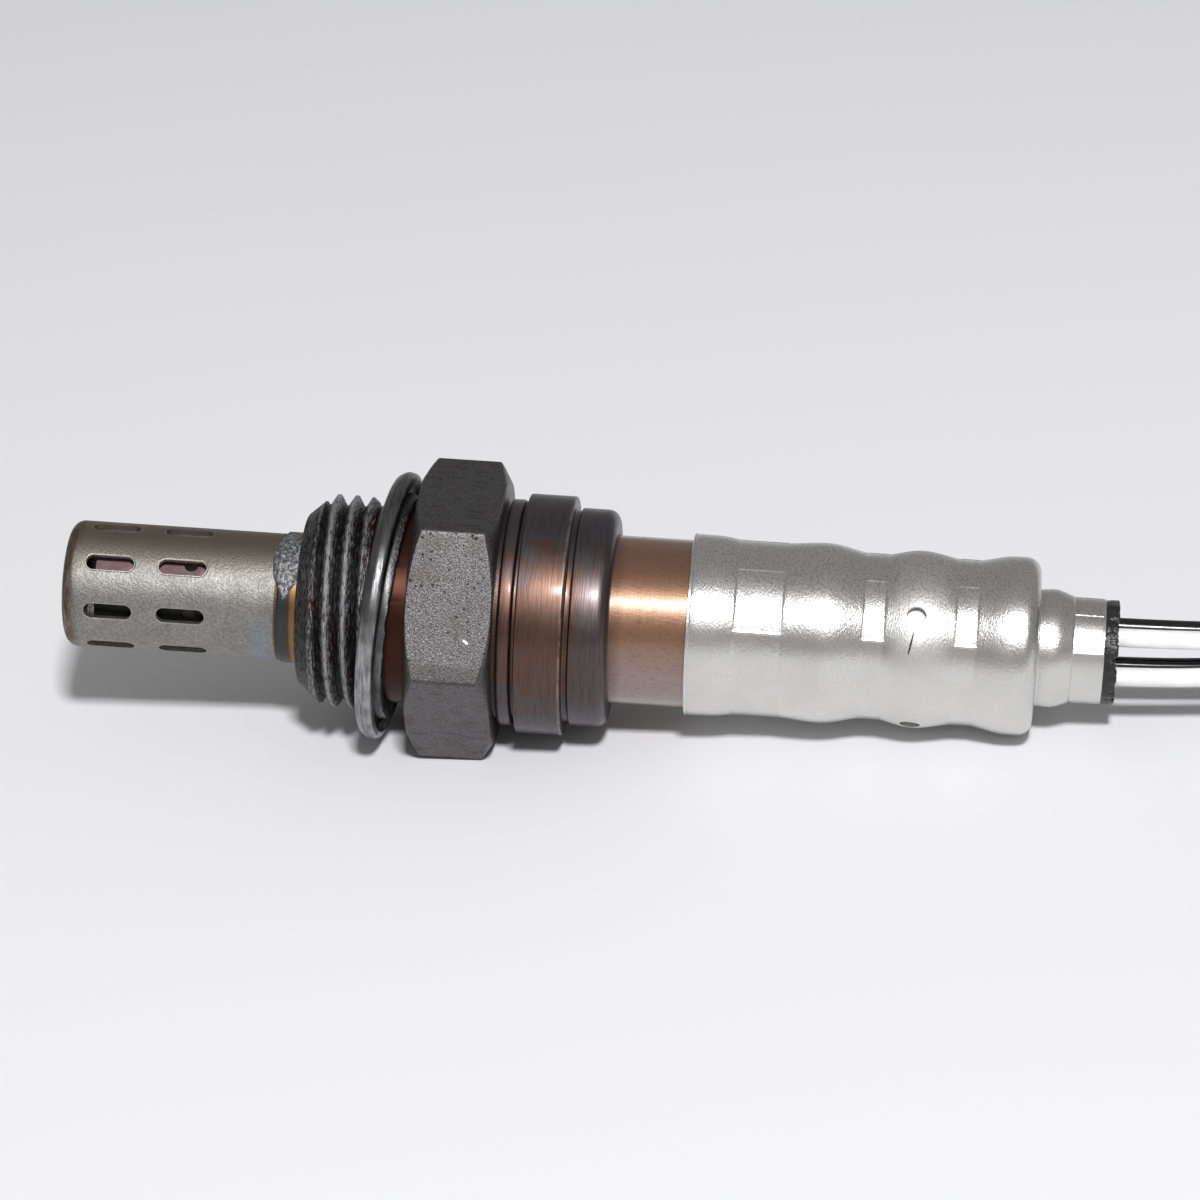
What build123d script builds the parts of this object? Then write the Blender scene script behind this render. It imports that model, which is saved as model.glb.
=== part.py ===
from build123d import *
import os
from math import atan2, cos, pi, radians, sin, sqrt, tan

os.makedirs("parts", exist_ok=True)

# Heated four-wire oxygen sensor, in millimetres, lying as it comes to rest on a flat surface.
# The tip points towards -X and the wires leave towards +X. Stations are distances along the
# sensor's own axis, from the front face of the hexagon, positive towards the wires.

# Housing
hex_across_flats = 22.0
hex_length = 7.2
hex_chamfer_length = 0.95
hex_chamfer_crown = 0.04
hex_face_diameter = 22.1
thread_diameter = 18.0
thread_length = 3.2
thread_run_out_length = 0.9
thread_lead_length = 2.0
thread_lead_diameter = 14.4
relief_diameter = 16.6
relief_length = 3.5
shoulder_diameter = 11.1
shoulder_length = 1.8
spigot_length = 2.6
groove_width = 0.3
groove_diameter = 18.0
bead_width = 1.25
bead_diameter = 19.15
collar_diameter = 20.26
collar_width = 3.95
collar_edge = 0.3
step_diameter = 17.9
step_width = 0.5
rim_diameter = 18.4
rim_width = 3.2
rim_round = 1.2
rim_lip_thickness = 1.3
front_bore_diameter = 7.6
seat_depth = 4.0
element_bore_diameter = 11.8
rear_bore_diameter = 16.0
rear_bore_depth = 6.0

# Protectors over the element
protector_diameter = 10.72
protector_wall = 0.5
protector_length = 18.35
protector_corner = 1.0
slot_length = 4.1
slot_width = 1.3
slot_rings = 2
slots_per_ring = 8
slot_angle = 5.5
slot_ring_from_tip = 4.04
slot_ring_pitch = 6.17
inner_protector_diameter = 8.5
inner_protector_wall = 0.4
inner_protector_gap = 2.2
inner_protector_flange = 0.4
inner_end_hole_diameter = 2.0
inner_vent_diameter = 1.2
inner_vents = 6
inner_vent_from_base = 5.0

# Gasket, loose on the relief and canted both ways
gasket_clearance = 0.3
gasket_width = 2.3
gasket_thickness = 1.9
gasket_edge_flat = 0.3
gasket_from_hexagon = 2.19
gasket_sag = 0.15
gasket_cant_up = 2.9
gasket_cant_front = 4.5

# Element, heater and packing, with one fitting clearance for all bores
fit = 0.05
seat_ring_thickness = 0.6
element_collar_length = 3.0
element_body_diameter = 6.0
element_head_diameter = 8.4
element_tip_reach = 24.3
element_head_reach = 20.0
element_hole_diameter = 3.8
element_tip_wall = 0.8
heater_diameter = 3.2
heater_proud = 6.0
heater_tip_gap = 0.6
packing_length = 6.4
bush_head_length = 3.6
compression_ring_thickness = 1.2

# Inner sleeve and outer shell
sleeve_diameter = 14.2
sleeve_wall = 0.5
sleeve_flange_thickness = 0.6
sleeve_end = 34.0
shell_start = 23.1
shell_end = 52.35
shell_wall = 0.4
shell_diameter = 15.3
crimp_run_in = 1.0
first_crimp_start = 27.05
first_crimp_width = 4.0
first_crimp_diameter = 14.7
first_bulge_station = 34.4
first_bulge_diameter = 15.2
second_crimp_station = 38.65
third_crimp_station = 46.35
narrow_crimp_width = 1.8
narrow_crimp_diameter = 13.95
middle_bulge_station = 42.3
middle_bulge_diameter = 14.95
tail_bulge_from_end = 2.05
tail_bulge_diameter = 15.05
shell_shoulder_round = 1.3
vent_diameter = 1.7
vents = 4
vent_angle = 45.0
vent_station = 42.15
neck_root_diameter = 10.1
neck_diameter = 8.8
neck_ease_length = 2.85
neck_crimp_length = 2.7

# Filter, terminal block and terminals
filter_thickness = 0.5
filter_sleeve_wall = 0.4
filter_overhang = 1.6
block_over_head = 2.5
block_end = 48.0
block_pocket_diameter = 9.8
block_pocket_clearance = 1.5
block_hole_diameter = 1.8
centring_ring_start = 31.5
centring_ring_length = 1.4
blade_width = 1.3
blade_thickness = 0.4
barrel_gap = 0.3
barrel_length = 3.4
barrel_wall = 0.25
heater_foot_length = 2.0
ground_foot_gap = 1.5
ground_arm_length = 2.5

# Grommet and wires
grommet_gap = 1.2
grommet_lip_length = 1.15
grommet_lip_diameter = 8.9
wire_clearance = 0.1
wire_diameter = 1.6
wire_circle_diameter = 4.86
wire_gather_diameter = 4.2
wire_in_barrel = 1.25
wire_run = 10.3
wire_end_gap = 0.4
arc_share = 0.45

# Wire positions round the axis, angles from the front, turning upwards
wire_angles = {
    "white_wire_1": 60.0,
    "black_wire_1": 150.0,
    "black_wire_2": 240.0,
    "white_wire_2": 330.0,
}

# Protective sleeve over the wires (the loom), its coil and its ties
loom_diameter = 4.4
loom_entry_height = 4.6
loom_run = 8.5
coil_diameter = 44.0
coil_layers = 2
coil_stub_spare = 0.2
tie_width = 3.0
tie_thickness = 0.5
tie_angles = (30.0, 150.0)
boot_length = 8.0
boot_wall = 0.6
boot_clearance = 0.3
tail_length = 5.0

# Connector
connector_length = 24.0
connector_width = 15.0
connector_edge = 1.0
cavity_rows = 2
cavity_size = 2.6
cavity_pitch = 5.0
cavity_depth = 17.0
terminal_size = 2.3
terminal_bore_diameter = 1.2
terminal_length = 9.0
terminal_recess = 2.5
latch_length = 11.0
latch_width = 6.0
latch_thickness = 1.6
lock_length = 3.0
lock_height = 9.0
lock_thickness = 0.9
lock_from_front = 6.0
seal_thickness = 3.0
seal_size = 9.5
connector_boot_wall = 0.7

# Stations that follow from the sizes above
run_out_end = -relief_length
thread_end = run_out_end - thread_run_out_length
lead_start = thread_end - thread_length
shoulder_end = lead_start - thread_lead_length
protector_base = shoulder_end - shoulder_length
spigot_end = protector_base - spigot_length
protector_tip = protector_base - protector_length
bead_start = hex_length + groove_width
bead_end = bead_start + bead_width
collar_start = bead_end + groove_width
step_start = collar_start + collar_width
rim_start = step_start + step_width
rim_end = rim_start + rim_width
lip_start = rim_end - rim_lip_thickness
rear_bore_start = lip_start - rear_bore_depth
seat_ring_end = seat_ring_thickness - seat_depth
packing_start = seat_ring_end + element_collar_length
tail_bulge_station = shell_end - tail_bulge_from_end
neck_crimp_start = shell_end + neck_ease_length
neck_end = neck_crimp_start + neck_crimp_length
heater_reach = element_head_reach + heater_proud
block_start = element_head_reach - block_over_head
block_pocket_end = heater_reach + block_pocket_clearance
heater_foot_start = heater_reach - heater_foot_length
barrel_start = block_end + barrel_gap
barrel_end = barrel_start + barrel_length
wire_start = barrel_end - wire_in_barrel
grommet_start = barrel_end + grommet_gap
ground_foot_start = element_head_reach + ground_foot_gap
packing_end = packing_start + packing_length
flange_start = lip_start - sleeve_flange_thickness
compression_start = flange_start - compression_ring_thickness
bush_head_start = compression_start - bush_head_length
grommet_end = neck_end + grommet_lip_length

# Radii that more than one piece shares
gasket_hole_diameter = thread_diameter + gasket_clearance
gasket_diameter = gasket_hole_diameter + 2 * gasket_width
gasket_round = (gasket_thickness - gasket_edge_flat) / 2
hex_face = hex_face_diameter / 2
hex_corner = hex_across_flats / sqrt(3)
hex_chamfer_middle = hex_chamfer_length / 2 - hex_chamfer_crown
protector_bore = protector_diameter / 2 - protector_wall
inner_protector_radius = inner_protector_diameter / 2
element_bore = element_bore_diameter / 2
element_head = element_head_diameter / 2
rear_bore = rear_bore_diameter / 2
sleeve_radius = sleeve_diameter / 2
crimped_sleeve_radius = first_crimp_diameter / 2 - shell_wall - fit
filter_radius = narrow_crimp_diameter / 2 - shell_wall - fit
filter_sleeve_radius = filter_radius - filter_thickness - fit
block_radius = filter_sleeve_radius - filter_sleeve_wall - fit
neck_bore = neck_diameter / 2 - shell_wall
wire_circle = wire_circle_diameter / 2
loom_radius = loom_diameter / 2
wire_pack_circle = (wire_diameter + fit) / sqrt(2)
connector_boot_radius = loom_radius + fit + connector_boot_wall

# At rest the hexagon's rear edge and the tail of the shell touch the surface
rest_tilt = atan2(
    hex_across_flats / 2 - tail_bulge_diameter / 2,
    shell_end - shell_shoulder_round - hex_length,
)
axis_dir = Vector(cos(rest_tilt), 0, -sin(rest_tilt))
up_dir = Vector(sin(rest_tilt), 0, cos(rest_tilt))
front_dir = Vector(0, -1, 0)

# The sensor without its lead is centred over the origin, with the surface at Z = 0
tip_corner = protector_diameter / 2 - protector_corner
tip_x = (
    (protector_tip + protector_corner) * cos(rest_tilt)
    - tip_corner * sin(rest_tilt)
    - protector_corner
)
tail_x = grommet_end * cos(rest_tilt) + grommet_lip_diameter / 2 * sin(rest_tilt)
seat_height = hex_length * sin(rest_tilt) + hex_across_flats / 2 * cos(rest_tilt)
seat = Vector(-(tip_x + tail_x) / 2, 0, seat_height)

sensor_axis = Axis(seat, axis_dir)
section = Plane(origin=seat, x_dir=axis_dir, z_dir=front_dir)


def radial(angle):
    """Direction square to the axis, at an angle from the front, turning upwards."""
    return front_dir * cos(radians(angle)) + up_dir * sin(radians(angle))


def on_axis(station):
    """Point of the sensor's axis."""
    return seat + axis_dir * station


def across(station, angle=90.0):
    """Plane square to the axis, its X along the direction of the angle."""
    return Plane(origin=on_axis(station), x_dir=radial(angle), z_dir=axis_dir)


def facing(station, angle):
    """Plane through the axis that faces outwards at an angle, its X along the axis."""
    return Plane(origin=on_axis(station), x_dir=axis_dir, z_dir=radial(angle))


def near(station, radius):
    """Corners of the current sketch that lie at a station and a radius."""
    return [v for v in vertices() if abs(v.X - station) < fit and abs(v.Y - radius) < fit]


def save(piece, name):
    """Label a finished piece and write it."""
    piece.part.label = name
    export_step(piece.part, f"parts/{name}.step")


def turned_ring(name, start, end, inner_radius, outer_radius):
    """A plain turned ring on the sensor's axis."""
    with BuildPart() as ring:
        with BuildSketch(across(start)):
            Circle(outer_radius)
            Circle(inner_radius, mode=Mode.SUBTRACT)
        extrude(amount=end - start)
    save(ring, name)


# Outer protector: a drawn cup with two rings of slots
with BuildPart() as outer_protector:
    with BuildSketch(section):
        with BuildLine():
            Polyline(
                (protector_base, protector_bore),
                (protector_base, protector_diameter / 2),
                (protector_tip, protector_diameter / 2),
                (protector_tip, 0),
                (protector_tip + protector_wall, 0),
                (protector_tip + protector_wall, protector_bore),
                close=True,
            )
        make_face()
        fillet(near(protector_tip, protector_diameter / 2), protector_corner)
        fillet(near(protector_tip + protector_wall, protector_bore), protector_corner - protector_wall)
    revolve(axis=sensor_axis)
    for ring in range(slot_rings):
        slot_station = protector_tip + slot_ring_from_tip + ring * slot_ring_pitch
        for slot in range(slots_per_ring):
            with BuildSketch(facing(slot_station, slot_angle + slot * 360 / slots_per_ring)):
                SlotOverall(slot_length, slot_width)
            extrude(amount=protector_diameter, mode=Mode.SUBTRACT)
save(outer_protector, "outer_protector")

# Inner protector: a smaller cup, its flange on the end of the housing's spigot
inner_base = spigot_end - inner_protector_flange
inner_tip = protector_tip + protector_wall + inner_protector_gap
inner_protector_bore = inner_protector_radius - inner_protector_wall
with BuildPart() as inner_protector:
    with BuildSketch(section):
        with BuildLine():
            Polyline(
                (spigot_end, inner_protector_bore),
                (spigot_end, protector_bore - fit),
                (inner_base, protector_bore - fit),
                (inner_base, inner_protector_radius),
                (inner_tip, inner_protector_radius),
                (inner_tip, inner_end_hole_diameter / 2),
                (inner_tip + inner_protector_wall, inner_end_hole_diameter / 2),
                (inner_tip + inner_protector_wall, inner_protector_bore),
                close=True,
            )
        make_face()
    revolve(axis=sensor_axis)
    for vent in range(inner_vents):
        with BuildSketch(facing(spigot_end - inner_vent_from_base, vent * 360 / inner_vents)):
            Circle(inner_vent_diameter / 2)
        extrude(amount=protector_diameter, mode=Mode.SUBTRACT)
save(inner_protector, "inner_protector")

# Housing: the hexagon is chamfered first, each chamfer slightly crowned, and the turned body carries it
with BuildPart() as hexagon:
    with BuildSketch(across(0)):
        RegularPolygon(hex_across_flats / 2, 6, major_radius=False, rotation=30)
    extrude(amount=hex_length)
    with BuildSketch(section):
        with BuildLine():
            ThreePointArc(
                (0, hex_face),
                (hex_chamfer_middle, (hex_face + hex_corner) / 2 + hex_chamfer_crown),
                (hex_chamfer_length, hex_corner),
            )
            Line((hex_chamfer_length, hex_corner), (hex_length - hex_chamfer_length, hex_corner))
            ThreePointArc(
                (hex_length - hex_chamfer_length, hex_corner),
                (hex_length - hex_chamfer_middle, (hex_face + hex_corner) / 2 + hex_chamfer_crown),
                (hex_length, hex_face),
            )
            Polyline((hex_length, hex_face), (hex_length, 0), (0, 0), (0, hex_face))
        make_face()
    revolve(axis=sensor_axis, mode=Mode.INTERSECT)

with BuildPart() as housing:
    with BuildSketch(section):
        with BuildLine():
            Polyline(
                (spigot_end, 0),
                (spigot_end, protector_bore - fit),
                (protector_base, protector_bore - fit),
                (protector_base, shoulder_diameter / 2),
                (shoulder_end, shoulder_diameter / 2),
                (shoulder_end, thread_lead_diameter / 2),
                (lead_start, thread_diameter / 2),
                (thread_end, thread_diameter / 2),
                (run_out_end, relief_diameter / 2),
                (0, relief_diameter / 2),
                (0, groove_diameter / 2),
                (bead_start, groove_diameter / 2),
                (bead_start, bead_diameter / 2),
                (bead_end, bead_diameter / 2),
                (bead_end, groove_diameter / 2),
                (collar_start, groove_diameter / 2),
                (collar_start, collar_diameter / 2),
                (step_start, collar_diameter / 2),
                (step_start, step_diameter / 2),
                (rim_start, step_diameter / 2),
                (rim_start, rim_diameter / 2),
                (rim_end, rim_diameter / 2),
                (rim_end, 0),
                close=True,
            )
        make_face()
        bead_corners = near(bead_start, bead_diameter / 2) + near(bead_end, bead_diameter / 2)
        fillet(bead_corners, (bead_diameter - groove_diameter) / 2 - fit)
        collar_corners = near(collar_start, collar_diameter / 2) + near(step_start, collar_diameter / 2)
        fillet(collar_corners, collar_edge)
        fillet(near(rim_end, rim_diameter / 2), rim_round)
    revolve(axis=sensor_axis)
    add(hexagon.part)
    with BuildSketch(section):
        with BuildLine():
            Polyline(
                (spigot_end, 0),
                (spigot_end, front_bore_diameter / 2),
                (-seat_depth, front_bore_diameter / 2),
                (-seat_depth, element_bore),
                (rear_bore_start, element_bore),
                (rear_bore_start, rear_bore),
                (lip_start, rear_bore),
                (lip_start, sleeve_radius + fit),
                (rim_end, sleeve_radius + fit),
                (rim_end, 0),
                close=True,
            )
        make_face()
    revolve(axis=sensor_axis, mode=Mode.SUBTRACT)
save(housing, "housing")

# Gasket: its axis leans from the sensor's by the two cants
gasket_axis_dir = (
    axis_dir
    - up_dir * tan(radians(gasket_cant_up))
    + front_dir * tan(radians(gasket_cant_front))
)
gasket_centre = on_axis(-gasket_from_hexagon) - up_dir * gasket_sag
with BuildPart() as gasket:
    with BuildSketch(Plane(origin=gasket_centre, z_dir=gasket_axis_dir)):
        Circle(gasket_diameter / 2)
        Circle(gasket_hole_diameter / 2, mode=Mode.SUBTRACT)
    extrude(amount=gasket_thickness / 2, both=True)
    fillet(gasket.edges().filter_by(GeomType.CIRCLE).group_by(SortBy.LENGTH)[-1], gasket_round)
save(gasket, "gasket")

# Sensing element: a closed ceramic thimble with a seating collar
element_body = element_body_diameter / 2
element_hole = element_hole_diameter / 2
with BuildPart() as sensing_element:
    with BuildSketch(section):
        with BuildLine():
            Polyline(
                (-element_tip_reach, 0),
                (-element_tip_reach, element_body),
                (seat_ring_end, element_body),
                (seat_ring_end, element_bore - fit),
                (packing_start, element_bore - fit),
                (packing_start, element_head),
                (element_head_reach, element_head),
                (element_head_reach, element_hole),
                (element_tip_wall - element_tip_reach, element_hole),
                (element_tip_wall - element_tip_reach, 0),
                close=True,
            )
        make_face()
        fillet(near(-element_tip_reach, element_body), element_body - fit)
        fillet(near(element_tip_wall - element_tip_reach, element_hole), element_hole - fit)
    revolve(axis=sensor_axis)
save(sensing_element, "sensing_element")

# Heater rod with a rounded nose
heater_radius = heater_diameter / 2
heater_nose = element_tip_wall + heater_tip_gap - element_tip_reach
with BuildPart() as heater_rod:
    with BuildSketch(section):
        with BuildLine():
            Polyline(
                (heater_nose, 0),
                (heater_nose, heater_radius),
                (heater_reach, heater_radius),
                (heater_reach, 0),
                close=True,
            )
        make_face()
        fillet(near(heater_nose, heater_radius), heater_radius - fit)
    revolve(axis=sensor_axis)
save(heater_rod, "heater_rod")

# Seat ring, packing powder and compression ring
turned_ring("seat_ring", -seat_depth, seat_ring_end, front_bore_diameter / 2 + fit, element_bore - fit)
turned_ring("packing_powder", packing_start, packing_end, element_head + fit, element_bore - fit)
turned_ring("compression_ring", compression_start, flange_start, element_head + fit, rear_bore - fit)

# Ceramic bush: its head spreads the load of the rim over the packing
with BuildPart() as ceramic_bush:
    with BuildSketch(section):
        with BuildLine():
            Polyline(
                (packing_end, element_head + fit),
                (packing_end, element_bore - fit),
                (bush_head_start, element_bore - fit),
                (bush_head_start, rear_bore - fit),
                (compression_start, rear_bore - fit),
                (compression_start, element_head + fit),
                close=True,
            )
        make_face()
    revolve(axis=sensor_axis)
save(ceramic_bush, "ceramic_bush")


def crimp_curve(start, end):
    """A straight stretch, or one that eases from one radius to the next."""
    middle = (start[0] + end[0]) / 2
    if start[1] == end[1]:
        Line(start, end)
    else:
        Bezier(start, (middle, start[1]), (middle, end[1]), end)


def crimp_curves(knots):
    """The outline through the crimps and bulges."""
    for start, end in zip(knots, knots[1:]):
        crimp_curve(start, end)


# Inner sleeve: flanged under the housing's rim, necked under the shell's first crimp
sleeve_knots = [
    (flange_start + sleeve_flange_thickness, sleeve_radius),
    (first_crimp_start - crimp_run_in, sleeve_radius),
    (first_crimp_start, crimped_sleeve_radius),
    (sleeve_end, crimped_sleeve_radius),
]
sleeve_bore_knots = [(station, radius - sleeve_wall) for station, radius in sleeve_knots]
with BuildPart() as inner_sleeve:
    with BuildSketch(section):
        with BuildLine():
            crimp_curves(sleeve_knots)
            crimp_curves(sleeve_bore_knots)
            Line(sleeve_knots[-1], sleeve_bore_knots[-1])
            Polyline(
                sleeve_knots[0],
                (lip_start, rear_bore - fit),
                (flange_start, rear_bore - fit),
                (flange_start, sleeve_radius - sleeve_wall),
                sleeve_bore_knots[0],
            )
        make_face()
    revolve(axis=sensor_axis)
save(inner_sleeve, "inner_sleeve")

# Outer shell: waved by three crimps, vented, and necked over the grommet
half_crimp = narrow_crimp_width / 2
first_crimp_end = first_crimp_start + first_crimp_width
shell_knots = [
    (shell_start, shell_diameter / 2),
    (first_crimp_start - crimp_run_in, shell_diameter / 2),
    (first_crimp_start, first_crimp_diameter / 2),
    (first_crimp_end, first_crimp_diameter / 2),
    (first_bulge_station, first_bulge_diameter / 2),
    (second_crimp_station - half_crimp, narrow_crimp_diameter / 2),
    (second_crimp_station + half_crimp, narrow_crimp_diameter / 2),
    (middle_bulge_station, middle_bulge_diameter / 2),
    (third_crimp_station - half_crimp, narrow_crimp_diameter / 2),
    (third_crimp_station + half_crimp, narrow_crimp_diameter / 2),
    (tail_bulge_station, tail_bulge_diameter / 2),
]


def shell_line(inset):
    """The shell's outline from its front edge to its neck, drawn in by an inset."""
    face = shell_end - inset
    crimp_curves([(station, radius - inset) for station, radius in shell_knots])
    Line(
        (tail_bulge_station, tail_bulge_diameter / 2 - inset),
        (face, tail_bulge_diameter / 2 - inset),
    )
    Line((face, tail_bulge_diameter / 2 - inset), (face, neck_root_diameter / 2 - inset))
    crimp_curve(
        (face, neck_root_diameter / 2 - inset),
        (neck_crimp_start, neck_diameter / 2 - inset),
    )
    Line(
        (neck_crimp_start, neck_diameter / 2 - inset),
        (neck_end, neck_diameter / 2 - inset),
    )


with BuildPart() as outer_shell:
    with BuildSketch(section):
        with BuildLine():
            shell_line(0)
            shell_line(shell_wall)
            Line((shell_start, shell_diameter / 2), (shell_start, shell_diameter / 2 - shell_wall))
            Line((neck_end, neck_diameter / 2), (neck_end, neck_bore))
        make_face()
        fillet(near(shell_end, tail_bulge_diameter / 2), shell_shoulder_round)
        fillet(
            near(shell_end - shell_wall, tail_bulge_diameter / 2 - shell_wall),
            shell_shoulder_round - shell_wall,
        )
    revolve(axis=sensor_axis)
    for vent in range(vents):
        with BuildSketch(facing(vent_station, vent_angle + vent * 360 / vents)):
            Circle(vent_diameter / 2)
        extrude(amount=shell_diameter, mode=Mode.SUBTRACT)
save(outer_shell, "outer_shell")

# Filter membrane and the pierced sleeve under it
filter_start = second_crimp_station - half_crimp - filter_overhang
filter_end = third_crimp_station + half_crimp + filter_overhang
turned_ring(
    "vent_filter", filter_start, filter_end, filter_radius - filter_thickness, filter_radius
)

with BuildPart() as filter_sleeve:
    with BuildSketch(across(filter_start)):
        Circle(filter_sleeve_radius)
        Circle(filter_sleeve_radius - filter_sleeve_wall, mode=Mode.SUBTRACT)
    extrude(amount=filter_end - filter_start)
    for vent in range(vents):
        with BuildSketch(facing(vent_station, vent_angle + vent * 360 / vents)):
            Circle(vent_diameter / 2)
        extrude(amount=shell_diameter, mode=Mode.SUBTRACT)
save(filter_sleeve, "filter_sleeve")

# Centring ring: holds the terminal block in the necked part of the inner sleeve
turned_ring(
    "centring_ring",
    centring_ring_start,
    centring_ring_start + centring_ring_length,
    block_radius + fit,
    crimped_sleeve_radius - sleeve_wall - fit,
)

# Terminal block: a pocket for the element's head, and a way through for each terminal
with BuildPart() as terminal_block:
    with BuildSketch(across(block_start)):
        Circle(block_radius)
    extrude(amount=block_end - block_start)
    with BuildSketch(across(block_start)):
        Circle(block_pocket_diameter / 2)
    extrude(amount=block_pocket_end - block_start, mode=Mode.SUBTRACT)
    for angle in wire_angles.values():
        with BuildSketch(across(block_start, angle)):
            with Locations((wire_circle, 0)):
                Circle(block_hole_diameter / 2)
        extrude(amount=block_end - block_start, mode=Mode.SUBTRACT)
save(terminal_block, "terminal_block")


def terminal(name, angle, blade_start, feet):
    """A blade with a crimp barrel; feet are start, end, inner and outer radius of each foot."""
    with BuildPart() as piece:
        with BuildSketch(across(blade_start, angle)):
            with Locations((wire_circle, 0)):
                Rectangle(blade_thickness, blade_width)
        extrude(amount=barrel_start - blade_start)
        with BuildSketch(across(barrel_start, angle)):
            with Locations((wire_circle, 0)):
                Circle(wire_diameter / 2 + fit + barrel_wall)
        extrude(amount=barrel_length)
        with BuildSketch(across(barrel_start + blade_thickness, angle)):
            with Locations((wire_circle, 0)):
                Circle(wire_diameter / 2 + fit)
        extrude(amount=barrel_length, mode=Mode.SUBTRACT)
        for foot_start, foot_end, inner, outer in feet:
            with BuildSketch(across(foot_start, angle)):
                with Locations(((inner + outer) / 2, 0)):
                    Rectangle(outer - inner, blade_width)
            extrude(amount=foot_end - foot_start)
    save(piece, name)


# Heater terminals press on the rod, and the others on the element's inner and outer films
heater_foot = (
    heater_foot_start,
    heater_foot_start + heater_foot_length,
    heater_radius + fit,
    wire_circle,
)
ground_arm = (
    ground_foot_start - ground_arm_length,
    ground_foot_start,
    element_head + fit,
    element_head + fit + blade_thickness,
)
ground_foot = (
    ground_foot_start,
    ground_foot_start + blade_thickness,
    wire_circle,
    element_head + fit + blade_thickness,
)
terminal("heater_terminal_1", wire_angles["white_wire_1"], heater_foot_start, [heater_foot])
terminal("heater_terminal_2", wire_angles["white_wire_2"], heater_foot_start, [heater_foot])
terminal("signal_terminal", wire_angles["black_wire_1"], element_head_reach + fit, [])
terminal("ground_terminal", wire_angles["black_wire_2"], ground_foot_start, [ground_foot, ground_arm])

# Grommet: fills the neck, with a lip past its end
with BuildPart() as grommet:
    with BuildSketch(across(grommet_start)):
        Circle(neck_bore - fit)
    extrude(amount=grommet_end - grommet_start)
    with BuildSketch(across(neck_end)):
        Circle(grommet_lip_diameter / 2)
    extrude(amount=grommet_lip_length)
    for angle in wire_angles.values():
        with BuildSketch(across(grommet_start, angle)):
            with Locations((wire_circle, 0)):
                Circle(wire_diameter / 2 + wire_clearance)
        extrude(amount=grommet_end - grommet_start, mode=Mode.SUBTRACT)
save(grommet, "grommet")

# Every cord's route is straight runs joined by arcs as large as its runs allow


def route_radii(points):
    """Arc radius at each inner point of a route."""
    radii = []
    for before, corner, after in zip(points, points[1:], points[2:]):
        run_in = corner - before
        run_out = after - corner
        half_turn = radians(run_in.get_angle(run_out)) / 2
        radii.append(arc_share * min(run_in.length, run_out.length) / tan(half_turn))
    return radii


def cord(name, points, diameter):
    """A round cord along a route, with its radii and its volume against section times length."""
    radii = route_radii(points)
    with BuildPart() as piece:
        with BuildLine() as route:
            FilletPolyline(*points, radius=radii)
        with BuildSketch(Plane(origin=points[0], z_dir=points[1] - points[0])):
            Circle(diameter / 2)
        sweep()
    save(piece, name)
    length = sum(edge.length for edge in route.edges())
    share = piece.part.volume / (pi * diameter**2 / 4 * length)
    shown_radii = [round(radius, 1) for radius in radii]
    print(name, "radii", shown_radii, "length", round(length, 2), "volume share", round(share, 4))


# Four wires: straight out of the grommet, level, then gathered down into the loom
bend = on_axis(wire_start + wire_run)
level = Vector(bend.X + wire_run, 0, bend.Z)
entry = Vector(level.X + wire_run, 0, loom_entry_height)
wire_end = entry - (entry - level).normalized() * wire_end_gap
for wire_name, wire_angle in wire_angles.items():
    sideways = Vector(0, -cos(radians(wire_angle)), sin(radians(wire_angle)))
    wire_route = [
        on_axis(wire_start) + radial(wire_angle) * wire_circle,
        bend + radial(wire_angle) * wire_circle,
        level + sideways * (wire_gather_diameter / 2),
        wire_end + sideways * wire_pack_circle,
    ]
    cord(wire_name, wire_route, wire_diameter)

# Loom: down to the height of the coil's lower turn
coil_base = tie_thickness
lower_turn = coil_base + loom_radius
upper_turn = lower_turn + (coil_layers - 1) * loom_diameter
coil_radius = coil_diameter / 2
ring_radius = coil_radius + loom_radius
stub_length = sqrt(ring_radius**2 - (coil_radius - connector_boot_radius) ** 2) + coil_stub_spare
loom_route = [
    entry,
    Vector(entry.X + loom_run, 0, lower_turn),
    Vector(entry.X + 2 * loom_run, 0, lower_turn),
]
cord("loom_lead", loom_route, loom_diameter)

# Coil: two turns stacked, entered from below on the left and left from above on the right
coil_x = loom_route[-1].X + stub_length
with BuildPart() as loom_coil:
    with BuildSketch(Plane.XY.offset(coil_base)):
        with Locations((coil_x, coil_radius)):
            Circle(ring_radius)
            Circle(coil_radius - loom_radius, mode=Mode.SUBTRACT)
    extrude(amount=coil_layers * loom_diameter)
    with BuildSketch(Plane.XY.offset(coil_base)):
        with Locations((coil_x - stub_length / 2, 0)):
            Rectangle(stub_length, loom_diameter)
    extrude(amount=loom_diameter)
    with BuildSketch(Plane.XY.offset(upper_turn - loom_radius)):
        with Locations((coil_x + stub_length / 2, 0)):
            Rectangle(stub_length, loom_diameter)
    extrude(amount=loom_diameter)
save(loom_coil, "loom_coil")

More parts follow.
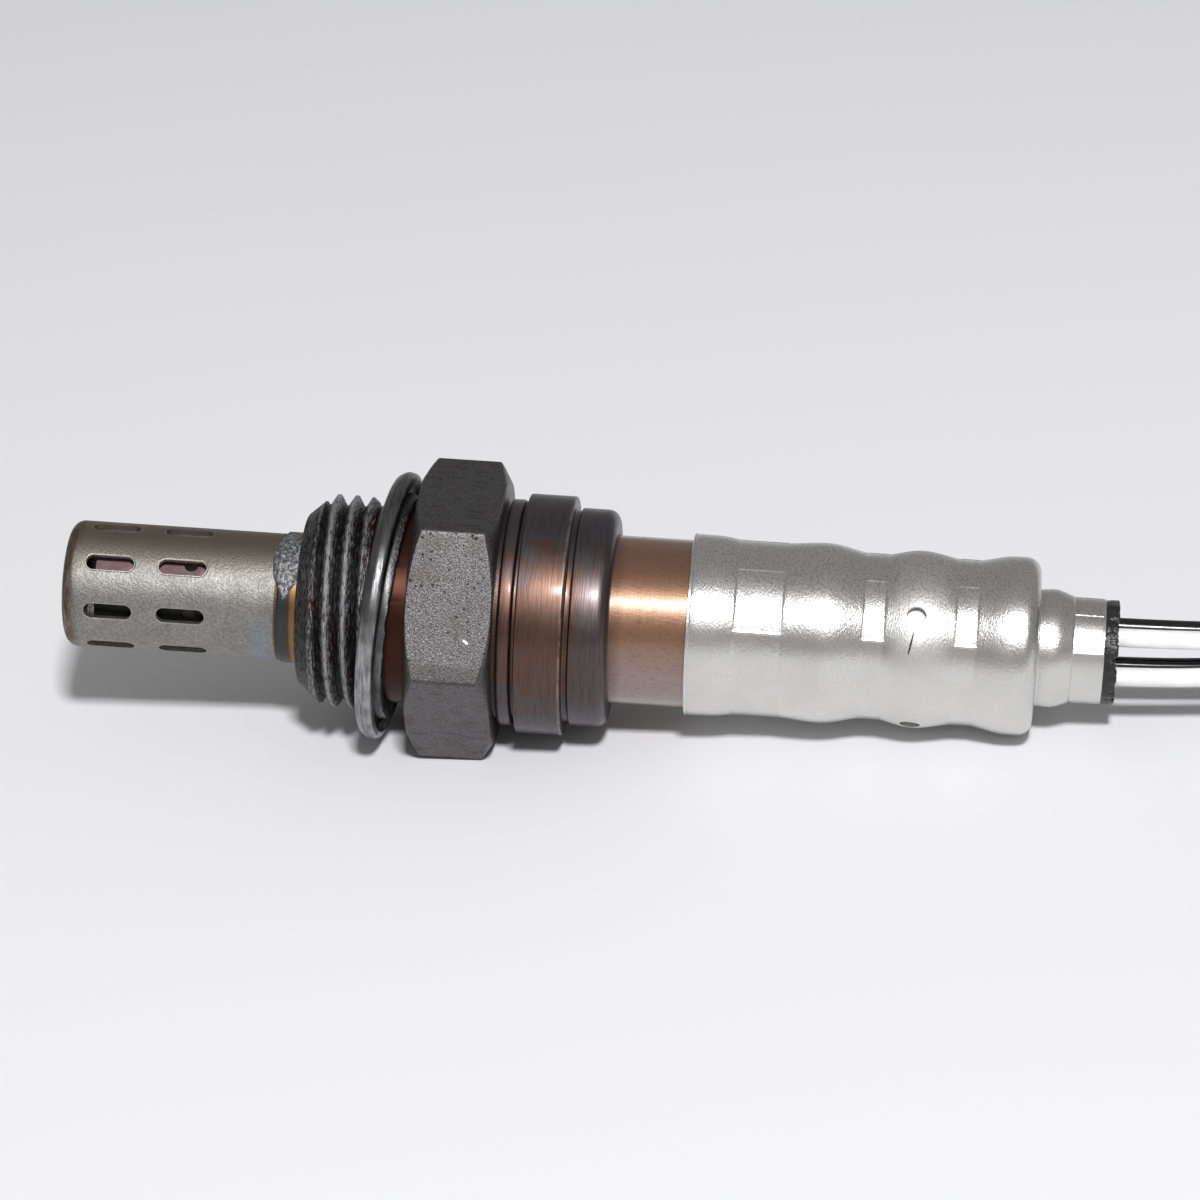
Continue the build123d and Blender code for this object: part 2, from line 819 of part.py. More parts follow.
# Ties: closed straps round both turns
for number, tie_angle in enumerate(tie_angles, 1):
    tie_dir = Vector(cos(radians(tie_angle)), sin(radians(tie_angle)), 0)
    tie_centre = Vector(coil_x, coil_radius, coil_base + coil_layers * loom_radius) + tie_dir * coil_radius
    along = Vector(-tie_dir.Y, tie_dir.X, 0)
    with BuildPart() as tie:
        with BuildSketch(Plane(origin=tie_centre, x_dir=tie_dir, z_dir=along)):
            Rectangle(
                loom_diameter + 2 * tie_thickness + 2 * fit,
                coil_layers * loom_diameter + 2 * tie_thickness,
            )
            Rectangle(loom_diameter + 2 * fit, coil_layers * loom_diameter, mode=Mode.SUBTRACT)
        extrude(amount=tie_width / 2, both=True)
    save(tie, f"coil_tie_{number}")

# Tail: from the coil's upper turn into the connector
tail_start = coil_x + stub_length
tail_end = tail_start + tail_length
with BuildPart() as loom_tail:
    with BuildSketch(Plane(origin=(tail_start, 0, upper_turn), z_dir=(1, 0, 0))):
        Circle(loom_radius)
    extrude(amount=tail_length)
save(loom_tail, "loom_tail")

# Entry boot: a shrunk tube over the wires' last stretch and the loom's first
entry_dir = (loom_route[1] - entry).normalized()
with BuildPart() as entry_boot:
    with BuildSketch(Plane(origin=entry, z_dir=entry_dir)):
        Circle(loom_radius + boot_clearance + boot_wall)
        Circle(loom_radius + boot_clearance, mode=Mode.SUBTRACT)
    extrude(amount=boot_length / 2, both=True)
    fillet(entry_boot.edges().filter_by(GeomType.CIRCLE).group_by(SortBy.LENGTH)[-1], boot_wall / 2)
save(entry_boot, "entry_boot")

# Connector: its cable enters at the height of the coil's upper turn, and it lies on the surface
connector_height = 2 * upper_turn
front_face = Plane(origin=(tail_end + connector_length, 0, upper_turn), x_dir=(0, 1, 0), z_dir=(1, 0, 0))
rear_face = Plane(origin=(tail_end, 0, upper_turn), x_dir=(0, 1, 0), z_dir=(1, 0, 0))
with BuildPart() as connector_body:
    with BuildSketch(rear_face):
        RectangleRounded(connector_width, connector_height, connector_edge)
    extrude(amount=connector_length)
    with BuildSketch(rear_face):
        Rectangle(seal_size, seal_size)
    extrude(amount=seal_thickness, mode=Mode.SUBTRACT)
    with BuildSketch(front_face):
        with GridLocations(cavity_pitch, cavity_pitch, cavity_rows, cavity_rows):
            Rectangle(cavity_size, cavity_size)
    extrude(amount=-cavity_depth, mode=Mode.SUBTRACT)
save(connector_body, "connector_body")

with BuildPart() as connector_seal:
    with BuildSketch(rear_face):
        Rectangle(seal_size - 2 * fit, seal_size - 2 * fit)
    extrude(amount=seal_thickness)
save(connector_seal, "connector_seal")

# Connector boot: over the tail, against the seal
with BuildPart() as connector_boot:
    with BuildSketch(rear_face):
        Circle(connector_boot_radius)
        Circle(loom_radius + fit, mode=Mode.SUBTRACT)
    extrude(amount=-(tail_length - fit))
save(connector_boot, "connector_boot")

# Four terminals in their cavities, set back from the connector's front face
terminal_face = front_face.offset(-terminal_recess)
cavity_places = GridLocations(cavity_pitch, cavity_pitch, cavity_rows, cavity_rows).locations
for number, place in enumerate(cavity_places, 1):
    with BuildPart() as connector_terminal:
        with BuildSketch(terminal_face):
            with Locations(place):
                Rectangle(terminal_size, terminal_size)
                Circle(terminal_bore_diameter / 2, mode=Mode.SUBTRACT)
        extrude(amount=-terminal_length)
    save(connector_terminal, f"connector_terminal_{number}")

# Latch on the connector's upper face: a block whose front end is a ramp
latch_rear = tail_end + (connector_length - latch_length) / 2
latch_plane = Plane(origin=(latch_rear, 0, connector_height), x_dir=(1, 0, 0), z_dir=(0, -1, 0))
with BuildPart() as connector_latch:
    with BuildSketch(latch_plane):
        with BuildLine():
            Polyline(
                (0, 0),
                (0, latch_thickness),
                (latch_length - latch_thickness, latch_thickness),
                (latch_length, 0),
                close=True,
            )
        make_face()
    extrude(amount=latch_width / 2, both=True)
save(connector_latch, "connector_latch")

# Secondary lock: a plate on the connector's side
lock_origin = (tail_end + connector_length - lock_from_front, connector_width / 2, upper_turn)
with BuildPart() as connector_lock:
    with BuildSketch(Plane(lock_origin, x_dir=(1, 0, 0), z_dir=(0, 1, 0))):
        RectangleRounded(lock_length, lock_height, lock_thickness)
    extrude(amount=lock_thickness)
save(connector_lock, "connector_lock")
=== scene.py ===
"""Looks of the heated four-wire oxygen sensor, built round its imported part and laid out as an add-on."""

import math

import bmesh
import bpy
import numpy as np
from bpy.props import FloatProperty, FloatVectorProperty, IntProperty, PointerProperty
from bpy.types import NodeSocket, Operator, Panel, PropertyGroup
from mathutils import Matrix, Vector, noise as field


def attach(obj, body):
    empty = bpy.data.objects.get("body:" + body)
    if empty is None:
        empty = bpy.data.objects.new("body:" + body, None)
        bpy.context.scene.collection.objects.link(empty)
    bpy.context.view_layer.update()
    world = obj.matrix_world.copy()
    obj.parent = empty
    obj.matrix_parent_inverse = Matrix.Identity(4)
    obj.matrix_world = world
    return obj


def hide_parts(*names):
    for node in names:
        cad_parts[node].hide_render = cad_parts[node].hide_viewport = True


bl_info = {
    "name": "Oxygen sensor",
    "version": (1, 0, 0),
    "blender": (4, 5, 0),
    "location": "3D View > Sidebar > Oxygen sensor",
    "description": "Builds the sensor's pieces, their finishes and the studio round them",
    "category": "Object",
}

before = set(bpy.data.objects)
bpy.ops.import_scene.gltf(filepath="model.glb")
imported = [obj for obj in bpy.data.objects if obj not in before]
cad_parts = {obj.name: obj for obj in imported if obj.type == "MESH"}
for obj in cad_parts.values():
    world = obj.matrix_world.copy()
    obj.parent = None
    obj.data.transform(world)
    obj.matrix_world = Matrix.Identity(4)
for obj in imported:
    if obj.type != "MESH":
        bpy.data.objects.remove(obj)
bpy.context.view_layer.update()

MM = 0.001


def linear(hex_colour):
    """Linear colour of an sRGB hex value."""
    parts = [int(hex_colour[i : i + 2], 16) / 255 for i in (1, 3, 5)]
    return [p / 12.92 if p <= 0.04045 else ((p + 0.055) / 1.055) ** 2.4 for p in parts]


def length(name, millimetres, description):
    return FloatProperty(name=name, description=description, default=millimetres * MM, unit="LENGTH")


def angle(name, degrees, description):
    return FloatProperty(
        name=name, description=description, default=math.radians(degrees), subtype="ANGLE"
    )


def colour(name, hex_colour, description):
    return FloatVectorProperty(
        name=name, description=description, default=linear(hex_colour), subtype="COLOR", size=3
    )


# Sizes and colours that a user would change


class PlaceSettings(PropertyGroup):
    seat_x: length("Seat X", -14.606, "X of the hexagon's front face on the sensor's axis")
    seat_z: length("Seat Z", 11.534, "Height of the hexagon's front face on the sensor's axis")
    tilt: angle("Rest tilt", 4.531, "How far the tip points up while the sensor lies at rest")


class ProtectorSettings(PropertyGroup):
    diameter: length("Protector diameter", 10.72, "Outside of the slotted protector")
    slot_length: length("Slot length", 4.1, "Length of each slot, ends included")
    slot_width: length("Slot width", 1.3, "Width of each slot")
    slot_station: length("Slot station", -25.71, "Middle of the slots nearest the tip")
    slot_pitch: length("Slot pitch", 6.17, "From one ring of slots to the next")
    slot_turn: angle("Slot turn", 5.5, "Turn of the first slot from the front")
    slots: IntProperty(name="Slots", description="Slots in each ring", default=8)


class HousingSettings(PropertyGroup):
    across_flats: length("Across flats", 22.0, "Spanner size of the hexagon")
    hex_length: length("Hexagon length", 7.2, "Length of the hexagon along the axis")
    corner_round: length("Corner round", 0.5, "Radius on the hexagon's six long edges")
    chamfer: length("Chamfer", 0.95, "Length of the cone on each end of the hexagon")
    face_diameter: length("Face diameter", 22.1, "Flat end face inside the chamfer")
    thread_diameter: length("Thread diameter", 18.0, "Outside diameter of the thread")
    thread_pitch: length("Thread pitch", 1.5, "Distance from one thread crest to the next")
    thread_depth: length("Thread depth", 0.88, "Depth of the thread's groove")
    thread_phase: length("Thread phase", -5.25, "Station of a crest at the front of the sensor")
    relief_diameter: length("Relief diameter", 16.6, "Plain neck between the thread and the hexagon")
    bead_diameter: length("Bead diameter", 19.15, "Ring behind the hexagon")
    collar_diameter: length("Collar diameter", 20.26, "Widest turned ring")
    rim_diameter: length("Rim diameter", 18.4, "Rolled rim that holds the inner sleeve")


class GasketSettings(PropertyGroup):
    diameter: length("Gasket diameter", 22.9, "Outside diameter of the folded gasket")
    hole: length("Gasket hole", 17.2, "Hole inside the folded inner lip")
    thickness: length("Gasket thickness", 1.9, "Thickness of the folded gasket, not yet crushed")
    station: length("Gasket station", -2.19, "Where its middle hangs on the relief")
    sag: length("Gasket sag", 0.15, "How far it drops on the relief")
    cant_up: angle("Cant up", 2.9, "How far it leans in the upright plane")
    cant_front: angle("Cant to the front", 4.5, "How far it leans in the level plane")


class ShellSettings(PropertyGroup):
    wall: length("Wall", 0.4, "Wall of the drawn shell")
    jaws: IntProperty(name="Jaws", description="Jaws of the crimping tool", default=8)
    jaw_turn: angle("Jaw turn", 27.0, "Turn of the first gap between jaws from the front")
    jaw_ridge: length("Jaw ridge", 0.035, "Height of the ridge that each gap leaves")
    jaw_flat: FloatProperty(
        name="Jaw flat", description="How flat each jaw leaves the shell, 1 for quite flat", default=0.1
    )
    vent_diameter: length("Vent diameter", 1.7, "Round vents over the filter")
    vent_station: length("Vent station", 42.15, "Where the vents lie along the axis")
    vent_turn: angle("Vent turn", 45.0, "Turn of the first vent from the front")


class LeadSettings(PropertyGroup):
    wire_diameter: length("Wire diameter", 1.6, "Diameter of each insulated wire")
    wire_circle: length("Wire circle", 4.86, "Circle that the wires leave the grommet on")
    loom_diameter: length("Loom diameter", 4.4, "Diameter of the sleeved bundle")
    coil_radius: length("Coil radius", 22.0, "Radius of the middle of the coiled loom's turns")


class FinishSettings(PropertyGroup):
    protector: colour("Protector", "#9c9a95", "Drawn stainless steel of the tip")
    stain: colour("Protector stain", "#5f4a3c", "Brown exhaust stain on the tip")
    inner_protector: colour("Inner protector", "#83696c", "Heat-stained steel behind the slots")
    weld: colour("Weld band", "#45474a", "Blue-black band beside the protector's weld")
    straw: colour("Straw tint", "#8b6c49", "Golden heat tint in front of the thread")
    hexagon: colour("Hexagon", "#706e6f", "Forged steel of the hexagon")
    turned: colour("Turned rings", "#634c43", "Copper-brown heat tint of the turned rings")
    # Slate is the rolled rim's grey oxide, and also painted reflection on the rings' upper and lower sides
    slate: colour("Slate", "#545459", "Grey oxide on the turned rings")
    relief: colour("Relief", "#3a1c10", "Rust-red heat tint of the relief")
    paste: colour("Paste", "#a4a5a8", "Silver-grey thread paste")
    gasket: colour("Gasket", "#a8a8a9", "Folded steel strip")
    sleeve: colour("Sleeve", "#87634b", "Bronze heat tint of the inner sleeve")
    shell: colour("Shell", "#dad9d7", "Satin drawn steel of the shell")
    white_wire: colour("White wire", "#f3f3f2", "White insulation")
    black_wire: colour("Black wire", "#131314", "Black insulation")


class StudioSettings(PropertyGroup):
    floor: colour("Floor", "#e9e9eb", "Pale floor")
    key_power: FloatProperty(
        name="Key power", description="Power of the square lamp", default=6.6, unit="POWER"
    )
    key_size: length("Key size", 90.0, "Side of the square lamp")
    key_distance: length("Key distance", 850.0, "From the sensor to the lamp")
    key_height: angle("Key height", 53.0, "How high the lamp stands above the horizon")
    key_turn: angle("Key turn", 13.0, "How far the lamp stands round from the front")
    sky_front: FloatProperty(
        name="Front light", description="Strength of the even light from the front", default=0.29
    )
    sky_back: FloatProperty(
        name="Back light", description="Strength of the even light from behind", default=0.3
    )
    camera_height: angle("Camera height", 29.533, "How far the camera looks down")
    camera_turn: angle("Camera turn", 6.974, "How far the camera stands round from the front")
    camera_roll: angle("Camera roll", -3.562, "Roll of the camera about its own line of sight")
    camera_distance: length("Camera distance", 418.81, "From the camera to the point looked at")
    lens: FloatProperty(name="Lens", description="Focal length in millimetres", default=148.57)


SETTINGS = {
    "sensor_place": PlaceSettings,
    "sensor_protector": ProtectorSettings,
    "sensor_housing": HousingSettings,
    "sensor_gasket": GasketSettings,
    "sensor_shell": ShellSettings,
    "sensor_lead": LeadSettings,
    "sensor_finish": FinishSettings,
    "sensor_studio": StudioSettings,
}


# The sensor's own frame: X along its axis from the hexagon's front face, Y back, Z up.
# Stations are places along X. Turns are angles about X, from the front, turning up.


def sensor_matrix():
    place = bpy.context.scene.sensor_place
    return Matrix.Translation((place.seat_x, 0, place.seat_z)) @ Matrix.Rotation(place.tilt, 4, "Y")


def sensor_point(station, radius, turn):
    return Vector((station, -radius * math.cos(turn), radius * math.sin(turn)))


def ease(share):
    """Smooth step from 0 to 1."""
    share = np.clip(share, 0, 1)
    return share * share * (3 - 2 * share)


def within(station, start, end, soft):
    """1 between two stations, easing to 0 outside them."""
    return float(ease((station - start) / soft + 0.5) * ease((end - station) / soft + 0.5))


def rounded(corners, steps=5):
    """Corners of a turned profile as (station, radius, fillet) in mm, with each fillet as an arc."""
    points = []
    count = len(corners)
    for i, (x, y, fillet) in enumerate(corners):
        here = Vector((x, y))
        to_last = Vector(corners[i - 1][:2]) - here
        to_next = Vector(corners[(i + 1) % count][:2]) - here
        if not fillet or to_last.length < 1e-6 or to_next.length < 1e-6:
            points.append((x, y))
            continue
        half = to_last.angle(to_next) / 2
        reach = min(fillet / math.tan(half), 0.49 * to_last.length, 0.49 * to_next.length)
        radius = reach * math.tan(half)
        middle = (to_last.normalized() + to_next.normalized()).normalized()
        centre = here + middle * (radius / math.sin(half))
        start = here + to_last.normalized() * reach - centre
        turn = start.angle_signed(here + to_next.normalized() * reach - centre)
        for k in range(steps + 1):
            spoke = start.copy()
            spoke.rotate(Matrix.Rotation(-turn * k / steps, 2))
            points.append(tuple(centre + spoke))
    return points


def ring_turns(base, centres=(), offsets=(0.0,)):
    """Evenly spaced turns, with finer ones at offsets from each centre, all given in degrees."""
    turns = {round(k * 360 / base, 4) for k in range(base)}
    for centre in centres:
        turns = {t for t in turns if abs((t - centre + 180) % 360 - 180) > max(offsets) + 0.3}
        turns |= {round((centre + side * o) % 360, 4) for o in offsets for side in (1, -1)}
    return np.radians(sorted(turns))


def loft(name, rows, turns, matrix=None):
    """Closed tube through rows of (station, radius), in mm, each a number or one value for each turn."""
    matrix = matrix or sensor_matrix()
    count = len(turns)
    across, upward = -np.cos(turns), np.sin(turns)
    mesh = bmesh.new()
    rings = []
    for station, radius in rows:
        station = np.broadcast_to(np.asarray(station, float), count) * MM
        radius = np.broadcast_to(np.asarray(radius, float), count) * MM
        places = zip(station, radius * across, radius * upward)
        rings.append([mesh.verts.new(matrix @ Vector(p)) for p in places])
    for ring, following in zip(rings, rings[1:] + rings[:1]):
        for j in range(count):
            k = (j + 1) % count
            mesh.faces.new((ring[j], ring[k], following[k], following[j]))
    return finish_mesh(name, mesh)


def finish_mesh(name, mesh, sharp=32):
    """Object of a finished mesh, smooth but for its sharp edges."""
    bmesh.ops.remove_doubles(mesh, verts=mesh.verts, dist=1e-6)
    bmesh.ops.dissolve_degenerate(mesh, edges=mesh.edges, dist=1e-7)
    bmesh.ops.recalc_face_normals(mesh, faces=mesh.faces)
    data = bpy.data.meshes.new(name)
    mesh.to_mesh(data)
    mesh.free()
    return place_mesh(name, data, sharp)


def place_mesh(name, data, sharp=32):
    data.shade_smooth()
    data.set_sharp_from_angle(angle=math.radians(sharp))
    piece = bpy.data.objects.new(name, data)
    bpy.context.scene.collection.objects.link(piece)
    return piece


def dress(piece, material, replaces=()):
    """Finish a new piece: its material, what it stands for, and the body it rides on."""
    piece.data.materials.clear()
    piece.data.materials.append(material)
    if replaces:
        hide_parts(*replaces)
    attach(piece, "root")


def dress_nodes(names, material, bevel_mm=0.0):
    """Give nodes of the part that keep their own shape a better material, and softer edges."""
    for name in names:
        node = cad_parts[name]
        node.data.materials.clear()
        node.data.materials.append(material)
        if bevel_mm:
            soft = node.modifiers.new("soft_edges", "BEVEL")
            soft.width, soft.segments = bevel_mm * MM, 3
            soft.limit_method, soft.angle_limit = "ANGLE", math.radians(50)


# Materials


# Settings that many nodes share
SMOOTH = {"interpolation_type": "SMOOTHSTEP"}
COLOURS = {"data_type": "RGBA"}


def add(tree, kind, inputs=(), output=0, stops=(), **settings):
    """Add a node with its settings and links, and give one of its outputs, or for None the node.

    The inputs are values or outputs to link, in the order of the sockets or by their keys.
    """
    node = tree.nodes.new("ShaderNode" + kind)
    for key, value in settings.items():
        setattr(node, key, value)
    for key, value in (inputs if isinstance(inputs, dict) else dict(enumerate(inputs))).items():
        socket = node.inputs[key]
        if isinstance(value, NodeSocket):
            tree.links.new(value, socket)
        else:
            socket.default_value = (*value, 1) if socket.type == "RGBA" else value
    for i, (position, tint) in enumerate(stops):
        ramp = node.color_ramp.elements
        element = ramp[i] if i < len(ramp) else ramp.new(position)
        element.position = position
        element.color = (*tint, 1)
    return node if output is None else node.outputs[output]


def per_mm(size_mm):
    """Scale of a texture whose features are about that many millimetres."""
    return 1 / (size_mm * MM)


def begin(name):
    """New material: its tree, its shader, and the place on the piece in the sensor's own frame."""
    material = bpy.data.materials.new(name)
    material.use_nodes = True
    tree = material.node_tree
    tree.nodes.clear()
    shader = add(tree, "BsdfPrincipled", (), None)
    add(tree, "OutputMaterial", {"Surface": shader.outputs[0]}, None)
    place = bpy.context.scene.sensor_place
    where = add(
        tree,
        "Mapping",
        {
            "Vector": add(tree, "TexCoord", (), "Object"),
            "Location": (place.seat_x, 0, place.seat_z),
            "Rotation": (0, place.tilt, 0),
        },
        vector_type="TEXTURE",
    )
    return material, tree, shader, where


def band(tree, value, start, end, soft):
    """1 between start and end, 0 outside, with soft edges."""
    rise = add(tree, "MapRange", (value, start - soft, start + soft), **SMOOTH)
    fall = add(tree, "MapRange", (value, end - soft, end + soft, 1.0, 0.0), **SMOOTH)
    return add(tree, "Math", (rise, fall), operation="MULTIPLY")


def unroll(tree, where, radius_mm):
    """Station and radius in mm, turn in degrees, and a vector that lays the round surface flat."""
    x, y, z = add(tree, "SeparateXYZ", {0: where}, None).outputs
    # The seam of the turn lies underneath
    top_turn = add(tree, "Math", (y, z), operation="ARCTAN2")
    turn = add(tree, "Math", (top_turn, 180 / math.pi, 90.0), operation="MULTIPLY_ADD")
    across = add(tree, "CombineXYZ", {1: y, 2: z})
    radius = add(tree, "VectorMath", {0: across}, "Value", operation="LENGTH")
    arc = add(tree, "Math", (top_turn, radius_mm * MM), operation="MULTIPLY")
    flat = add(tree, "CombineXYZ", {0: x, 1: arc, 2: radius})
    station_mm = add(tree, "Math", (x, 1 / MM), operation="MULTIPLY")
    return station_mm, add(tree, "Math", (radius, 1 / MM), operation="MULTIPLY"), turn, flat


def spot(tree, where, start, end, width):
    """1 on a long thin mark between two points in mm in the sensor's frame, 0 away from it."""
    run = Vector(end) - Vector(start)
    inputs = {
        "Vector": where,
        "Location": (Vector(start) + Vector(end)) / 2 * MM,
        "Rotation": run.to_track_quat("X", "Z").to_euler(),
        "Scale": Vector((run.length / 2, width / 2, width / 2)) * MM,
    }
    place = add(tree, "Mapping", inputs, vector_type="TEXTURE")
    reach = add(tree, "VectorMath", {0: place}, "Value", operation="LENGTH")
    return add(tree, "MapRange", (reach, 1.1, 0.5), **SMOOTH)


def shade(base, factor):
    return [c * factor for c in base]


def make_protector_steel(finish, sizes):
    """Deep-drawn stainless steel, dulled and stained by exhaust: sparkling grain, brown at the tip."""
    material, tree, shader, where = begin("drawn_stainless_exhaust_stained")
    radius_mm = sizes.diameter / 2 / MM
    station, _, turn, flat = unroll(tree, where, radius_mm)
    grain = add(
        tree, "TexNoise", {"Vector": flat, "Scale": per_mm(0.17), "Detail": 2.5, "Roughness": 0.65}
    )
    mottle = add(
        tree, "TexNoise", {"Vector": where, "Scale": per_mm(1.6), "Detail": 4.0, "Roughness": 0.6}
    )
    base = list(finish.protector)
    tone = add(
        tree,
        "Mix",
        {
            0: add(tree, "MapRange", (mottle, 0.35, 0.7, 0.0, 0.5), **SMOOTH),
            6: base,
            7: shade(base, 0.74),
        },
        2,
        **COLOURS,
    )
    layers = [
        (add(tree, "MapRange", (grain, 0.42, 0.6, 0.0, 0.5), **SMOOTH), shade(base, 0.4)),
        # Warmer and darker on the upper side
        (band(tree, turn, 62, 190, 25), linear("#7d7567")),
    ]
    for share, tint in layers:
        tone = add(tree, "Mix", {0: share, 6: tone, 7: tint}, 2, **COLOURS)
    # Brown streaks run round the closed end
    streak = add(
        tree,
        "TexNoise",
        {
            "Vector": add(tree, "Mapping", {"Vector": flat, "Scale": (2.2, 0.3, 1.0)}),
            "Scale": per_mm(0.5),
            "Detail": 3.0,
            "Roughness": 0.6,
        },
    )
    tip = add(
        tree,
        "Math",
        (
            add(tree, "MapRange", (station, -28.0, -29.4), **SMOOTH),
            add(tree, "MapRange", (streak, 0.3, 0.6, 0.25, 1.0), **SMOOTH),
        ),
        operation="MULTIPLY",
    )
    tone = add(tree, "Mix", {0: tip, 6: tone, 7: finish.stain}, 2, **COLOURS)
    # Blue heat tint below, and a brown line where the weld begins
    blue = add(
        tree,
        "Math",
        (
            band(tree, station, -13.6, -12.2, 0.5),
            add(tree, "MapRange", (turn, 25, -25, 0.0, 0.35), **SMOOTH),
        ),
        operation="MULTIPLY",
    )
    layers = [
        (blue, linear("#8194b5")),
        (band(tree, station, -11.65, -11.3, 0.1), linear("#5c4638")),
    ]
    for share, tint in layers:
        tone = add(tree, "Mix", {0: share, 6: tone, 7: tint}, 2, **COLOURS)

    # Distance from the nearest slot's edge, in mm
    first_ring = sizes.slot_station / MM
    pitch = sizes.slot_pitch / MM
    to_ring = add(
        tree,
        "Math",
        (add(tree, "Math", (station, first_ring), operation="SUBTRACT"), pitch / 2),
        operation="PINGPONG",
    )
    round_pitch = 360 / sizes.slots
    off_turn = add(tree, "Math", (turn, math.degrees(sizes.slot_turn)), operation="SUBTRACT")
    to_slot = add(tree, "Math", (off_turn, round_pitch / 2), operation="PINGPONG")
    straight = (sizes.slot_length - sizes.slot_width) / 2 / MM
    past = add(
        tree,
        "Math",
        (add(tree, "Math", (to_ring, straight), operation="SUBTRACT"), 0.0),
        operation="MAXIMUM",
    )
    side = add(tree, "Math", (to_slot, math.radians(1) * radius_mm), operation="MULTIPLY")
    reach = add(tree, "CombineXYZ", {0: past, 1: side})
    reach = add(tree, "VectorMath", {0: reach}, "Value", operation="LENGTH")
    off_slot = add(tree, "Math", (reach, sizes.slot_width / 2 / MM), operation="SUBTRACT")
    # Only two rings have slots
    on_rings = band(tree, station, first_ring - pitch / 2, first_ring + 1.5 * pitch, 0.01)
    rim = add(
        tree,
        "Math",
        (add(tree, "MapRange", (off_slot, 0.16, 0.05), **SMOOTH), on_rings),
        operation="MULTIPLY",
    )
    # Painted highlight: the slots' rims are lightened, as if their rounded edges caught the light
    tone = add(
        tree,
        "Mix",
        {0: add(tree, "Math", (rim, 0.3), operation="MULTIPLY"), 6: tone, 7: linear("#c9c4bc")},
        2,
        **COLOURS,
    )

    tree.links.new(tone, shader.inputs["Base Color"])
    shader.inputs["Metallic"].default_value = 1.0
    tree.links.new(
        add(tree, "MapRange", (mottle, 0.3, 0.7, 0.48, 0.55), **SMOOTH), shader.inputs["Roughness"]
    )
    burr = add(
        tree,
        "Bump",
        {"Height": add(tree, "Math", (1.0, rim), operation="SUBTRACT"), "Distance": 0.04 * MM},
    )
    tree.links.new(
        add(tree, "Bump", {"Height": grain, "Distance": 0.06 * MM, "Strength": 0.7, "Normal": burr}),
        shader.inputs["Normal"],
    )
    return material


def make_inner_protector_steel(finish):
    """Stainless steel coloured mauve by heat: dull, so that it reads flat behind the slots."""
    material, tree, shader, where = begin("stainless_heat_mauve")
    _, _, turn, _ = unroll(tree, where, 4.25)
    cloud = add(tree, "TexNoise", {"Vector": where, "Scale": per_mm(1.2), "Detail": 3.0})
    base = list(finish.inner_protector)
    tone = add(
        tree,
        "Mix",
        {0: add(tree, "MapRange", (cloud, 0.3, 0.7), **SMOOTH), 6: base, 7: shade(base, 0.7)},
        2,
        **COLOURS,
    )
    # Painted shade: the lower side, seen through the lower slots, is near black
    tone = add(
        tree,
        "Mix",
        {0: add(tree, "MapRange", (turn, 38, 26), **SMOOTH), 6: tone, 7: linear("#1b1a19")},
        2,
        **COLOURS,
    )
    tree.links.new(tone, shader.inputs["Base Color"])
    shader.inputs["Metallic"].default_value = 0.5
    tree.links.new(
        add(tree, "MapRange", (cloud, 0.3, 0.7, 0.55, 0.7), **SMOOTH), shader.inputs["Roughness"]
    )
    return material


